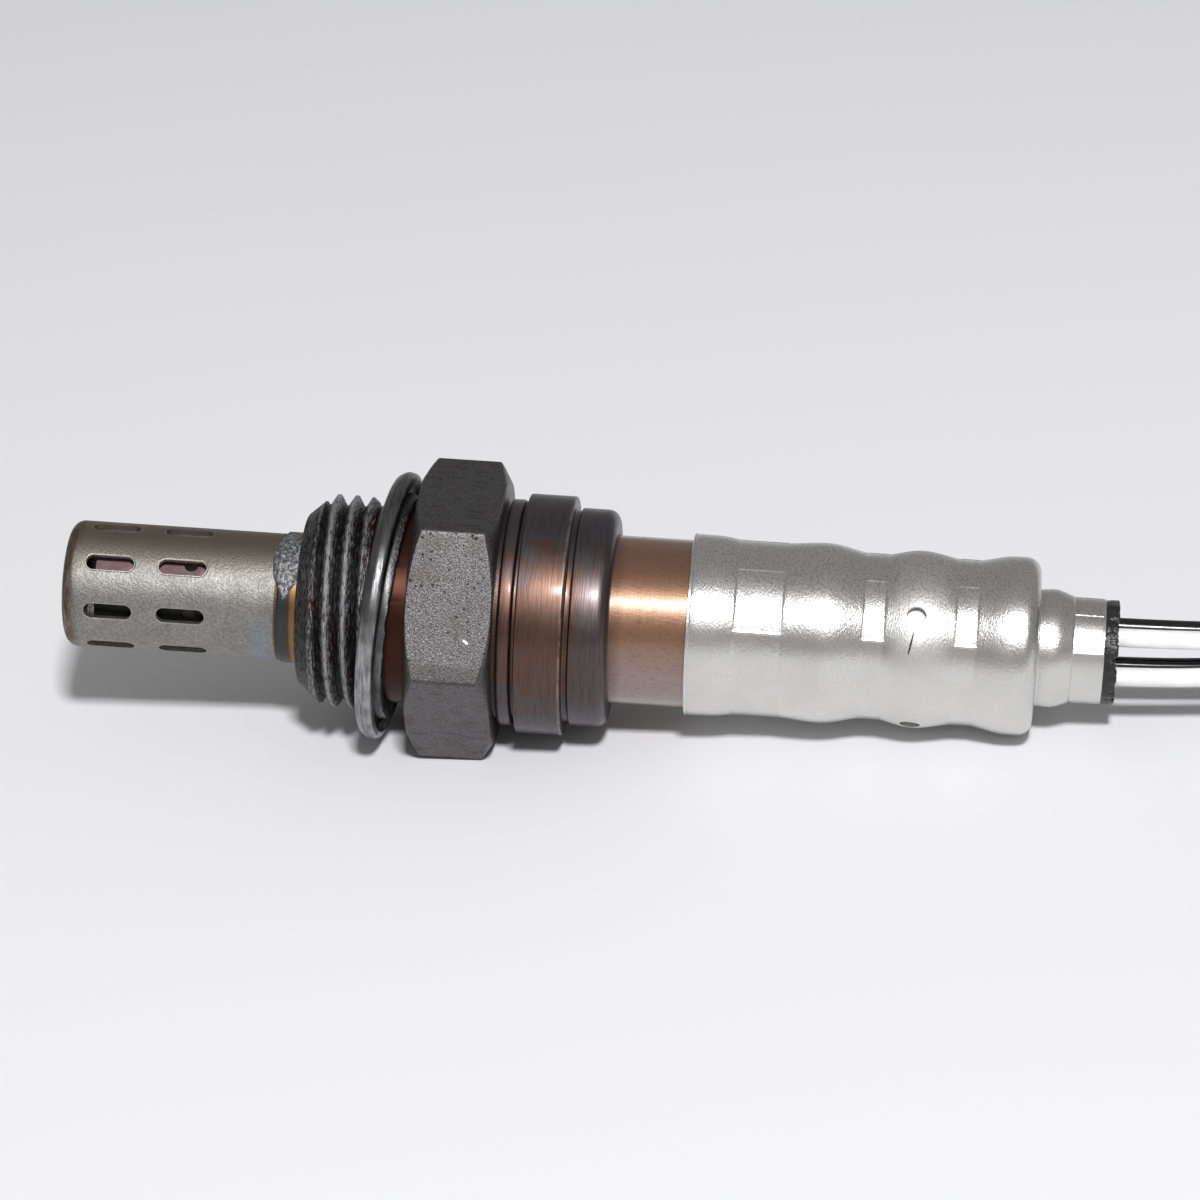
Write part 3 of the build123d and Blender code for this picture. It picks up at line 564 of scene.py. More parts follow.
def make_housing_steel(finish, sizes):
    """Steel, forged hexagon and turned rings, browned by heat: pitted flats and paste in the thread."""
    material, tree, shader, where = begin("forged_and_turned_steel_browned")
    station, radius, turn, flat = unroll(tree, where, 9.5)
    cloud = add(
        tree, "TexNoise", {"Vector": where, "Scale": per_mm(2.6), "Detail": 4.0, "Roughness": 0.6}
    )
    speck = add(
        tree, "TexNoise", {"Vector": where, "Scale": per_mm(0.13), "Detail": 3.0, "Roughness": 0.65}
    )
    # Cutting lines of the lathe, drawn coarser than life so that they show
    lathe = add(
        tree,
        "TexNoise",
        {
            "Vector": add(tree, "Mapping", {"Vector": flat, "Scale": (1.0, 0.04, 0.3)}),
            "Scale": per_mm(0.1),
            "Detail": 2.0,
        },
    )
    streak = add(
        tree,
        "TexNoise",
        {
            "Vector": add(tree, "Mapping", {"Vector": flat, "Scale": (1.0, 0.14, 0.6)}),
            "Scale": per_mm(0.11),
            "Detail": 4.0,
            "Roughness": 0.7,
        },
    )

    # The facing flat lies square to this direction, and this runs up it
    half_flats = sizes.across_flats / 2 / MM
    out = add(tree, "VectorMath", {0: where, 1: (0, -0.866, 0.5)}, "Value", operation="DOT_PRODUCT")
    rise = add(tree, "VectorMath", {0: where, 1: (0, 0.5, 0.866)}, "Value", operation="DOT_PRODUCT")
    rise = add(tree, "Math", (rise, 1 / MM), operation="MULTIPLY")
    facing = add(
        tree,
        "MapRange",
        (add(tree, "Math", (out, 1 / MM), operation="MULTIPLY"), half_flats - 0.12, half_flats - 0.04),
        **SMOOTH,
    )
    on_hex = band(tree, station, -0.02, sizes.hex_length / MM, 0.02)
    facing = add(tree, "Math", (facing, on_hex), operation="MULTIPLY")

    slate = list(finish.slate)
    hexagon = list(finish.hexagon)
    turned = list(finish.turned)
    weld, straw, rust = list(finish.weld), list(finish.straw), list(finish.relief)
    # Colours along the axis: station in mm, colour
    stops = [
        (-14.0, weld),
        (-10.55, weld),
        (-10.35, shade(straw, 0.35)),
        (-10.2, straw),
        (-9.75, straw),
        (-9.65, shade(hexagon, 0.5)),
        (-3.6, shade(hexagon, 0.35)),
        (-3.45, rust),
        (-0.1, rust),
        (-0.02, hexagon),
        (7.18, hexagon),
        (7.26, turned),
        (16.9, turned),
    ]
    start, end = stops[0][0], stops[-1][0]
    along = add(tree, "Math", (station, start), operation="SUBTRACT")
    along = add(tree, "Math", (along, end - start), operation="DIVIDE")
    places = [((x - start) / (end - start), tint) for x, tint in stops]
    tone = add(tree, "ValToRGB", (along,), stops=places)

    # Turned rings: copper brown where they face the front, slate grey painted above and below as
    # reflection of the dim surroundings, and grey oxide all round the rolled rim
    rings = add(tree, "MapRange", (station, 7.2, 7.3), **SMOOTH)
    rolled = add(tree, "MapRange", (station, 13.5, 14.4, 0.0, 0.6), **SMOOTH)
    drift = add(tree, "Math", (cloud, 90.0, -45.0), operation="MULTIPLY_ADD")
    drifted = add(tree, "Math", (turn, drift), operation="ADD")
    grey = add(tree, "Math", (1.0, band(tree, drifted, -12, 62, 16)), operation="SUBTRACT")
    grey = add(
        tree,
        "Math",
        (add(tree, "Math", (grey, 0.85), operation="MULTIPLY"), rolled),
        operation="MAXIMUM",
    )
    tone = add(
        tree,
        "Mix",
        {0: add(tree, "Math", (rings, grey), operation="MULTIPLY"), 6: tone, 7: slate},
        2,
        **COLOURS,
    )
    lines = add(
        tree,
        "Math",
        (rings, add(tree, "MapRange", (lathe, 0.45, 0.7, 0.0, 0.4), **SMOOTH)),
        operation="MULTIPLY",
    )
    tone = add(tree, "Mix", {0: lines, 6: tone, 7: shade(turned, 0.3)}, 2, **COLOURS)
    # Painted highlight: a light line along the collar's rounded rear edge, broken up by the cloud
    collar_edge_highlight = add(
        tree, "Math", (rings, band(tree, station, 12.78, 12.98, 0.06)), operation="MULTIPLY"
    )
    collar_edge_highlight = add(
        tree,
        "Math",
        (collar_edge_highlight, add(tree, "MapRange", (cloud, 0.4, 0.6, 0.0, 0.5), **SMOOTH)),
        operation="MULTIPLY",
    )
    tone = add(tree, "Mix", {0: collar_edge_highlight, 6: tone, 7: linear("#a09289")}, 2, **COLOURS)

    # Hexagon: browner patches, dark specks, and a smooth dark strip along the facing flat's foot
    patch = add(
        tree,
        "Math",
        (on_hex, add(tree, "MapRange", (cloud, 0.48, 0.68, 0.0, 0.35), **SMOOTH)),
        operation="MULTIPLY",
    )
    tone = add(tree, "Mix", {0: patch, 6: tone, 7: linear("#665851")}, 2, **COLOURS)
    specks = add(
        tree,
        "Math",
        (on_hex, add(tree, "MapRange", (speck, 0.45, 0.58, 0.0, 0.6), **SMOOTH)),
        operation="MULTIPLY",
    )
    tone = add(tree, "Mix", {0: specks, 6: tone, 7: linear("#353334")}, 2, **COLOURS)
    # Drag marks of the forging die along the flats that don't face the front
    dragged = add(
        tree,
        "MapRange",
        (
            add(
                tree,
                "TexNoise",
                {
                    "Vector": add(tree, "Mapping", {"Vector": where, "Scale": (0.25, 1.0, 1.0)}),
                    "Scale": per_mm(0.5),
                    "Detail": 3.0,
                    "Roughness": 0.6,
                },
            ),
            0.54,
            0.66,
            0.0,
            0.6,
        ),
        **SMOOTH,
    )
    dragged = add(
        tree,
        "Math",
        (
            add(tree, "Math", (on_hex, dragged), operation="MULTIPLY"),
            add(tree, "Math", (1.0, facing), operation="SUBTRACT"),
        ),
        operation="MULTIPLY",
    )
    tone = add(tree, "Mix", {0: dragged, 6: tone, 7: linear("#464446")}, 2, **COLOURS)
    # Pits on the facing flat, fewer on the others
    cells = add(tree, "TexVoronoi", {"Vector": where, "Scale": 1 / (0.6 * MM)}, None)
    size = add(tree, "MapRange", (cloud, 0.35, 0.7, 0.08, 0.26), **SMOOTH)
    pit = add(
        tree,
        "Math",
        (
            add(
                tree,
                "Math",
                (
                    on_hex,
                    add(
                        tree,
                        "MapRange",
                        (
                            add(tree, "Math", (cells.outputs["Distance"], size), operation="DIVIDE"),
                            1.0,
                            0.5,
                        ),
                        **SMOOTH,
                    ),
                ),
                operation="MULTIPLY",
            ),
            add(tree, "MapRange", (facing, 0.0, 1.0, 0.3, 1.0), **SMOOTH),
        ),
        operation="MULTIPLY",
    )
    tone = add(
        tree,
        "Mix",
        {0: add(tree, "Math", (pit, 0.55), operation="MULTIPLY"), 6: tone, 7: linear("#2b292a")},
        2,
        **COLOURS,
    )
    # Painted glints: light specks in patches on the facing flat
    glint_patch = add(
        tree,
        "MapRange",
        (
            add(tree, "TexNoise", {"Vector": where, "Scale": per_mm(3.4), "Detail": 2.0}),
            0.4,
            0.62,
            0.25,
            1.0,
        ),
        **SMOOTH,
    )
    glint = add(
        tree,
        "Math",
        (
            add(tree, "Math", (facing, glint_patch), operation="MULTIPLY"),
            add(tree, "MapRange", (speck, 0.42, 0.34, 0.0, 0.5), **SMOOTH),
        ),
        operation="MULTIPLY",
    )
    tone = add(tree, "Mix", {0: glint, 6: tone, 7: linear("#b5b1af")}, 2, **COLOURS)
    foot = add(
        tree,
        "Math",
        (facing, add(tree, "MapRange", (rise, -4.75, -4.95), **SMOOTH)),
        operation="MULTIPLY",
    )
    tone = add(
        tree,
        "Mix",
        {0: add(tree, "Math", (foot, 0.45), operation="MULTIPLY"), 6: tone, 7: linear("#4a4444")},
        2,
        **COLOURS,
    )
    scratch = spot(tree, where, (4.95, -10.776, 3.335), (5.5, -10.976, 2.989), 0.26)
    tone = add(
        tree,
        "Mix",
        {0: add(tree, "Math", (scratch, on_hex), operation="MULTIPLY"), 6: tone, 7: linear("#f4f2f0")},
        2,
        **COLOURS,
    )

    # Thread: silver paste smeared along the turns, thickest on the crests, over dark roots
    in_thread = band(tree, station, -9.66, -3.55, 0.05)
    crest = add(tree, "MapRange", (radius, 8.45, 9.0), **SMOOTH)
    smear = add(
        tree, "Math", (streak, add(tree, "Math", (crest, 0.13), operation="MULTIPLY")), operation="ADD"
    )
    smear = add(
        tree,
        "Math",
        (smear, add(tree, "MapRange", (station, -8.0, -8.8, 0.0, 0.07), **SMOOTH)),
        operation="ADD",
    )
    pasted = add(
        tree,
        "Math",
        (in_thread, add(tree, "MapRange", (smear, 0.53, 0.61), **SMOOTH)),
        operation="MULTIPLY",
    )
    rusty = add(
        tree,
        "Math",
        (in_thread, add(tree, "MapRange", (cloud, 0.52, 0.62, 0.0, 0.8), **SMOOTH)),
        operation="MULTIPLY",
    )
    layers = [
        (rusty, linear("#4a2318")),
        (pasted, finish.paste),
    ]
    for share, tint in layers:
        tone = add(tree, "Mix", {0: share, 6: tone, 7: tint}, 2, **COLOURS)
    root = add(
        tree,
        "Math",
        (in_thread, add(tree, "MapRange", (radius, 8.42, 8.16, 0.0, 0.85), **SMOOTH)),
        operation="MULTIPLY",
    )
    tone = add(tree, "Mix", {0: root, 6: tone, 7: linear("#1d1a19")}, 2, **COLOURS)
    tree.links.new(tone, shader.inputs["Base Color"])

    dull = add(tree, "Math", (pasted, band(tree, station, -3.5, -0.05, 0.05)), operation="MAXIMUM")
    tree.links.new(
        add(tree, "MapRange", (dull, 0.0, 1.0, 1.0, 0.75), **SMOOTH), shader.inputs["Metallic"]
    )
    rough = add(tree, "MapRange", (cloud, 0.3, 0.7, 0.38, 0.46), **SMOOTH)
    tree.links.new(rough, shader.inputs["Roughness"])
    # A thin oxide film gives the turned rings a narrow white glint over the brown
    tree.links.new(add(tree, "Math", (rings, 0.18), operation="MULTIPLY"), shader.inputs["Coat Weight"])
    shader.inputs["Coat Roughness"].default_value = 0.16

    normal = add(tree, "Bump", {"Height": pit, "Distance": -0.1 * MM})
    normal = add(
        tree,
        "Bump",
        {
            "Height": add(tree, "Math", (on_hex, speck), operation="MULTIPLY"),
            "Distance": 0.045 * MM,
            "Strength": 0.75,
            "Normal": normal,
        },
    )
    normal = add(
        tree,
        "Bump",
        {
            "Height": add(tree, "Math", (rings, lathe), operation="MULTIPLY"),
            "Distance": 0.02 * MM,
            "Strength": 0.7,
            "Normal": normal,
        },
    )
    normal = add(
        tree,
        "Bump",
        {
            "Height": add(tree, "Math", (in_thread, streak), operation="MULTIPLY"),
            "Distance": 0.22 * MM,
            "Strength": 0.8,
            "Normal": normal,
        },
    )
    tree.links.new(normal, shader.inputs["Normal"])
    return material


def make_paste(finish):
    """Anti-seize paste, smeared and dried: silver-grey, wrinkled and glittering."""
    material, tree, shader, where = begin("dried_thread_paste")
    wrinkle = add(
        tree, "TexNoise", {"Vector": where, "Scale": per_mm(0.35), "Detail": 4.0, "Roughness": 0.6}
    )
    crumbs = add(
        tree, "TexNoise", {"Vector": where, "Scale": per_mm(0.12), "Detail": 2.0, "Roughness": 0.6}
    )
    paste = list(finish.paste)
    tone = add(
        tree,
        "Mix",
        {
            0: add(tree, "MapRange", (wrinkle, 0.4, 0.56, 0.0, 0.85), **SMOOTH),
            6: paste,
            7: shade(paste, 0.25),
        },
        2,
        **COLOURS,
    )
    tree.links.new(tone, shader.inputs["Base Color"])
    shader.inputs["Metallic"].default_value = 0.8
    tree.links.new(
        add(tree, "MapRange", (crumbs, 0.3, 0.7, 0.28, 0.5), **SMOOTH), shader.inputs["Roughness"]
    )
    tree.links.new(
        add(
            tree,
            "Bump",
            {
                "Height": crumbs,
                "Distance": 0.06 * MM,
                "Normal": add(tree, "Bump", {"Height": wrinkle, "Distance": 0.2 * MM}),
            },
        ),
        shader.inputs["Normal"],
    )
    return material


def make_gasket_steel(finish):
    """Mild steel strip, folded and rolled: bright rubbed outside, fold and upper side darkened as painted
    shade, torn silver lip.
    """
    material, tree, shader, where = begin("rolled_steel_strip_folded")
    _, radius, turn, flat = unroll(tree, where, 11.0)
    streak = add(
        tree,
        "TexNoise",
        {
            "Vector": add(tree, "Mapping", {"Vector": flat, "Scale": (1.0, 0.1, 1.0)}),
            "Scale": per_mm(0.2),
            "Detail": 3.0,
            "Roughness": 0.6,
        },
    )
    crumb = add(
        tree, "TexNoise", {"Vector": where, "Scale": per_mm(0.16), "Detail": 3.0, "Roughness": 0.6}
    )
    cloud = add(tree, "TexNoise", {"Vector": where, "Scale": per_mm(2.2), "Detail": 3.0})
    base = list(finish.gasket)
    tone = add(
        tree,
        "Mix",
        {
            0: add(tree, "MapRange", (cloud, 0.4, 0.65, 0.0, 0.6), **SMOOTH),
            6: base,
            7: linear("#6b6b6d"),
        },
        2,
        **COLOURS,
    )
    layers = [
        (add(tree, "MapRange", (streak, 0.45, 0.65, 0.0, 0.55), **SMOOTH), linear("#3f3f40")),
        # Painted shade: darker on the upper side, and darker still in the fold, with a brighter torn lip
        # inside it
        (add(tree, "MapRange", (turn, 0, 55, 0.0, 0.65), **SMOOTH), linear("#3a3a3c")),
    ]
    for share, tint in layers:
        tone = add(tree, "Mix", {0: share, 6: tone, 7: tint}, 2, **COLOURS)
    # Painted shade in the fold
    fold = band(tree, radius, 9.5, 10.75, 0.15)
    tone = add(
        tree,
        "Mix",
        {0: add(tree, "Math", (fold, 0.85), operation="MULTIPLY"), 6: tone, 7: linear("#1f1f20")},
        2,
        **COLOURS,
    )
    lip = add(tree, "MapRange", (radius, 9.5, 9.35), **SMOOTH)
    tone = add(tree, "Mix", {0: lip, 6: tone, 7: linear("#9d9a97")}, 2, **COLOURS)
    torn = add(
        tree,
        "Math",
        (lip, add(tree, "MapRange", (crumb, 0.42, 0.56, 0.0, 0.85), **SMOOTH)),
        operation="MULTIPLY",
    )
    tone = add(tree, "Mix", {0: torn, 6: tone, 7: linear("#3a3230")}, 2, **COLOURS)
    # Painted shade on the upper side of the lip
    lip_top_shade = add(
        tree,
        "Math",
        (lip, add(tree, "MapRange", (turn, 0, 40, 0.0, 0.75), **SMOOTH)),
        operation="MULTIPLY",
    )
    tone = add(tree, "Mix", {0: lip_top_shade, 6: tone, 7: linear("#3a3a3c")}, 2, **COLOURS)
    tree.links.new(tone, shader.inputs["Base Color"])
    shader.inputs["Metallic"].default_value = 1.0
    tree.links.new(
        add(tree, "MapRange", (streak, 0.3, 0.7, 0.3, 0.42), **SMOOTH), shader.inputs["Roughness"]
    )
    normal = add(tree, "Bump", {"Height": streak, "Distance": 0.05 * MM, "Strength": 0.8})
    tree.links.new(
        add(
            tree,
            "Bump",
            {
                "Height": add(tree, "Math", (lip, crumb), operation="MULTIPLY"),
                "Distance": 0.12 * MM,
                "Normal": normal,
            },
        ),
        shader.inputs["Normal"],
    )
    return material


def make_sleeve_steel(finish):
    """Stainless steel, ground and heat tinted bronze: fine lines round it and a hot highlight."""
    material, tree, shader, where = begin("ground_stainless_heat_bronze")
    station, _, turn, flat = unroll(tree, where, 7.1)
    lines = add(
        tree,
        "TexNoise",
        {
            "Vector": add(tree, "Mapping", {"Vector": flat, "Scale": (1.0, 0.12, 1.0)}),
            "Scale": per_mm(0.12),
            "Detail": 2.0,
        },
    )
    grain = add(
        tree,
        "TexNoise",
        {
            "Vector": add(tree, "Mapping", {"Vector": flat, "Scale": (0.5, 1.5, 1.0)}),
            "Scale": per_mm(0.25),
            "Detail": 3.0,
            "Roughness": 0.6,
        },
    )
    base = list(finish.sleeve)
    # Mauve below the highlight, and darker bronze painted on the upper side as shade
    tone = add(
        tree,
        "Mix",
        {0: add(tree, "MapRange", (turn, 22, -18), **SMOOTH), 6: base, 7: linear("#8f7d7a")},
        2,
        **COLOURS,
    )
    layers = [
        (add(tree, "MapRange", (turn, 50, 85, 0.0, 0.6), **SMOOTH), linear("#6d4a35")),
        (add(tree, "MapRange", (grain, 0.48, 0.66, 0.0, 0.35), **SMOOTH), shade(base, 0.5)),
        (add(tree, "MapRange", (station, 18.0, 17.0, 0.0, 0.5), **SMOOTH), linear("#5d3b2c")),
    ]
    for share, tint in layers:
        tone = add(tree, "Mix", {0: share, 6: tone, 7: tint}, 2, **COLOURS)
    tree.links.new(tone, shader.inputs["Base Color"])
    shader.inputs["Metallic"].default_value = 0.65
    tree.links.new(
        add(tree, "MapRange", (lines, 0.3, 0.7, 0.33, 0.41), **SMOOTH), shader.inputs["Roughness"]
    )
    # The tint lies in a clear oxide film, so the highlight itself stays white
    shader.inputs["Coat Weight"].default_value = 1.0
    shader.inputs["Coat Roughness"].default_value = 0.22
    normal = add(tree, "Bump", {"Height": lines, "Distance": 0.012 * MM, "Strength": 0.5})
    tree.links.new(
        add(tree, "Bump", {"Height": grain, "Distance": 0.02 * MM, "Strength": 0.5, "Normal": normal}),
        shader.inputs["Normal"],
    )
    return material


def make_shell_steel(finish):
    """Stainless steel, drawn and crimped: an orange-peel satin whose highlights burn out."""
    material, tree, shader, where = begin("drawn_stainless_satin")
    station, _, turn, flat = unroll(tree, where, 7.4)
    peel = add(
        tree,
        "TexNoise",
        {
            "Vector": add(tree, "Mapping", {"Vector": flat, "Scale": (1.2, 0.6, 1.0)}),
            "Scale": per_mm(0.15),
            "Detail": 3.0,
            "Roughness": 0.6,
        },
    )
    cloud = add(tree, "TexNoise", {"Vector": where, "Scale": per_mm(3.0), "Detail": 3.0})
    base = list(finish.shell)
    tone = add(
        tree,
        "Mix",
        {
            0: add(tree, "MapRange", (cloud, 0.35, 0.7, 0.0, 0.35), **SMOOTH),
            6: base,
            7: shade(base, 0.85),
        },
        2,
        **COLOURS,
    )
    # The peel is the steel's grain; painted shade makes it darker and stronger on the upper side
    strength = add(tree, "MapRange", (turn, 5, 60, 0.1, 0.5), **SMOOTH)
    dark = add(
        tree,
        "Math",
        (strength, add(tree, "MapRange", (peel, 0.44, 0.64), **SMOOTH)),
        operation="MULTIPLY",
    )
    tone = add(tree, "Mix", {0: dark, 6: tone, 7: shade(base, 0.35)}, 2, **COLOURS)
    crack = spot(tree, where, (42.02, -6.158, 4.264), (41.59, -7.135, 2.277), 0.17)
    tone = add(tree, "Mix", {0: crack, 6: tone, 7: linear("#4a4a4a")}, 2, **COLOURS)
    tree.links.new(tone, shader.inputs["Base Color"])
    shader.inputs["Metallic"].default_value = 1.0
    # The bulge round the vents is duller than the rest, so its highlight is broad and dim
    dull = band(tree, station, 40.3, 44.7, 0.8)
    rough = add(
        tree,
        "Math",
        (dull, 0.13, add(tree, "MapRange", (cloud, 0.3, 0.7, 0.27, 0.32), **SMOOTH)),
        operation="MULTIPLY_ADD",
    )
    tree.links.new(rough, shader.inputs["Roughness"])
    normal = add(tree, "Bump", {"Height": crack, "Distance": -0.06 * MM})
    tree.links.new(
        add(tree, "Bump", {"Height": peel, "Distance": 0.045 * MM, "Strength": 0.6, "Normal": normal}),
        shader.inputs["Normal"],
    )
    return material


def make_plain(name, base, rough, depth_mm=0.01, grain_mm=0.12, metal=0.0):
    """Moulded, fired or pressed stock: an even colour with a slight mottle and a fine grain."""
    material, tree, shader, where = begin(name)
    grain = add(
        tree, "TexNoise", {"Vector": where, "Scale": per_mm(grain_mm), "Detail": 3.0, "Roughness": 0.6}
    )
    cloud = add(tree, "TexNoise", {"Vector": where, "Scale": per_mm(grain_mm * 14), "Detail": 3.0})
    base = list(base)
    tone = add(
        tree,
        "Mix",
        {0: add(tree, "MapRange", (cloud, 0.35, 0.7), **SMOOTH), 6: base, 7: shade(base, 0.88)},
        2,
        **COLOURS,
    )
    tree.links.new(tone, shader.inputs["Base Color"])
    shader.inputs["Metallic"].default_value = metal
    tree.links.new(
        add(tree, "MapRange", (grain, 0.3, 0.7, rough - 0.06, rough + 0.06), **SMOOTH),
        shader.inputs["Roughness"],
    )
    tree.links.new(
        add(tree, "Bump", {"Height": grain, "Distance": depth_mm * MM, "Strength": 0.5}),
        shader.inputs["Normal"],
    )
    return material


def make_braid(name, length_mm, strands=14):
    """Glass yarn, braided into a sleeve and varnished black: a fine criss-cross with a dull sheen."""
    material, tree, shader, _ = begin(name)
    along, across, _ = add(tree, "SeparateXYZ", {0: add(tree, "TexCoord", (), "UV")}, None).outputs
    # As many strands along as the pitch round the sleeve gives, so that they cross square
    run = add(tree, "Math", (along, length_mm * strands / 13.8 * math.tau), operation="MULTIPLY")
    spin = add(tree, "Math", (across, strands * math.tau), operation="MULTIPLY")
    left = add(tree, "Math", (add(tree, "Math", (run, spin), operation="ADD"),), operation="SINE")
    right = add(tree, "Math", (add(tree, "Math", (run, spin), operation="SUBTRACT"),), operation="SINE")
    weave = add(
        tree, "MapRange", (add(tree, "Math", (left, right), operation="MULTIPLY"), -0.6, 0.8), **SMOOTH
    )
    tone = add(tree, "Mix", {0: weave, 6: linear("#0c0c0d"), 7: linear("#303033")}, 2, **COLOURS)
    tree.links.new(tone, shader.inputs["Base Color"])
    shader.inputs["Roughness"].default_value = 0.5
    tree.links.new(
        add(tree, "Bump", {"Height": weave, "Distance": 0.15 * MM, "Strength": 0.9}),
        shader.inputs["Normal"],
    )
    return material


# Operators, one for each piece or group of like pieces


def add_floor(studio):
    """Large pale floor, painted board: matt, with hardly any grain."""
    material, tree, shader, where = begin("painted_board_matt")
    cloud = add(tree, "TexNoise", {"Vector": where, "Scale": per_mm(60), "Detail": 2.0})
    base = list(studio.floor)
    tone = add(
        tree,
        "Mix",
        {
            0: add(tree, "MapRange", (cloud, 0.3, 0.7, 0.0, 0.25), **SMOOTH),
            6: base,
            7: shade(base, 0.985),
        },
        2,
        **COLOURS,
    )
    tree.links.new(tone, shader.inputs["Base Color"])
    shader.inputs["Roughness"].default_value = 0.8
    shader.inputs["Specular IOR Level"].default_value = 0.2
    mesh = bmesh.new()
    bmesh.ops.create_grid(mesh, x_segments=8, y_segments=8, size=3.0)
    floor = finish_mesh("floor", mesh)
    floor.data.materials.append(material)


class StudioOperator(Operator):
    """Camera, floor and soft light"""

    bl_idname = "sensor.studio"
    bl_label = "Studio"

    def execute(self, context):
        scene, studio = context.scene, context.scene.sensor_studio
        scene.view_settings.view_transform = "Standard"
        height, turn, roll = studio.camera_height, studio.camera_turn, studio.camera_roll
        back = Vector(
            (math.sin(turn) * math.cos(height), -math.cos(turn) * math.cos(height), math.sin(height))
        )
        level = Vector((math.cos(turn), math.sin(turn), 0))
        upright = back.cross(level)
        right = level * math.cos(roll) + upright * math.sin(roll)
        up = -level * math.sin(roll) + upright * math.cos(roll)
        aim_station, shift_right, shift_up = 15.45 * MM, 0.028 * MM, 1.51 * MM
        aim = sensor_matrix() @ Vector((aim_station, 0, 0))
        data = bpy.data.cameras.new("camera")
        data.lens, data.sensor_width, data.clip_start = studio.lens, 36, 0.01
        camera = bpy.data.objects.new("camera", data)
        scene.collection.objects.link(camera)
        stand = aim + right * shift_right + up * shift_up + back * studio.camera_distance
        turned = Matrix((right, up, back)).transposed().to_4x4()
        camera.matrix_world = Matrix.Translation(stand) @ turned
        scene.camera = camera

        lamp = bpy.data.lights.new("key", "AREA")
        lamp.shape, lamp.size, lamp.energy = "SQUARE", studio.key_size, studio.key_power
        key = bpy.data.objects.new("key", lamp)
        high, around, reach = studio.key_height, studio.key_turn, studio.key_distance
        toward = Vector(
            (math.sin(around) * math.cos(high), -math.cos(around) * math.cos(high), math.sin(high))
        )
        aimed = toward.to_track_quat("Z", "Y").to_matrix().to_4x4()
        key.matrix_world = Matrix.Translation(toward * reach) @ aimed
        scene.collection.objects.link(key)

        world = bpy.data.worlds.new("studio_sky")
        world.use_nodes = True
        tree = world.node_tree
        tree.nodes.clear()
        direction = add(tree, "TexCoord", (), "Generated")
        _, away, _ = add(tree, "SeparateXYZ", {0: direction}, None).outputs
        strength = add(tree, "MapRange", (away, -0.3, 0.5, studio.sky_front, studio.sky_back), **SMOOTH)
        sky = add(tree, "Background", {"Color": (1, 1, 1), "Strength": strength}, None)
        add(tree, "OutputWorld", {"Surface": sky.outputs[0]}, None)
        scene.world = world
        add_floor(studio)
        return {"FINISHED"}


def nurbs_cord(name, points, radius, material, replaces):
    """A cord as a smooth curve, its control points in the part's frame in mm."""
    data = bpy.data.curves.new(name, "CURVE")
    data.dimensions = "3D"
    data.bevel_depth, data.bevel_resolution, data.resolution_u = radius, 6, 16
    data.use_fill_caps = True
    spline = data.splines.new("NURBS")
    spline.points.add(len(points) - 1)
    for control, place in zip(spline.points, points):
        control.co = (*(c * MM for c in place), 1)
    spline.order_u = 3
    spline.use_endpoint_u = True
    cord = bpy.data.objects.new(name, data)
    bpy.context.scene.collection.objects.link(cord)
    dress(cord, material, replaces)
    return cord


class WiresOperator(Operator):
    """Four insulated wires from the grommet to the sleeved loom"""

    bl_idname = "sensor.wires"
    bl_label = "Wires"

    def execute(self, context):
        lead, finish = context.scene.sensor_lead, context.scene.sensor_finish
        to_part = sensor_matrix()
        # White insulation, extruded: bright, smooth and slightly waxy
        white = make_plain("extruded_insulation_white", finish.white_wire, 0.42, 0.002)
        # Black insulation, extruded: glossy, so that its highlight is a thin line
        black = make_plain("extruded_insulation_black", finish.black_wire, 0.22, 0.004, 0.4)
        layout = {
            "white_wire_1": (60, white, "white_insulation"),
            "black_wire_1": (150, black, "black_insulation"),
            "black_wire_2": (240, black, "black_insulation"),
            "white_wire_2": (330, white, "white_insulation"),
        }
        for node, (degrees, material, slot) in layout.items():
            turn = math.radians(degrees)
            circle = lead.wire_circle / 2
            out = Vector((0, -math.cos(turn), math.sin(turn)))
            # In the shell, past the grommet, then drawn together into the loom
            points = [
                to_part @ sensor_point(50.45 * MM, circle, turn) / MM,
                to_part @ sensor_point(60.75 * MM, circle, turn) / MM,
                Vector((56.25, 0, 6.735)) + out * 2.1,
                Vector((66.16, 0, 4.68)) + out * 1.167,
            ]
            radius = lead.wire_diameter / 2
            wire = nurbs_cord("insulated_" + node, points, radius, material, [node])
        return {"FINISHED"}


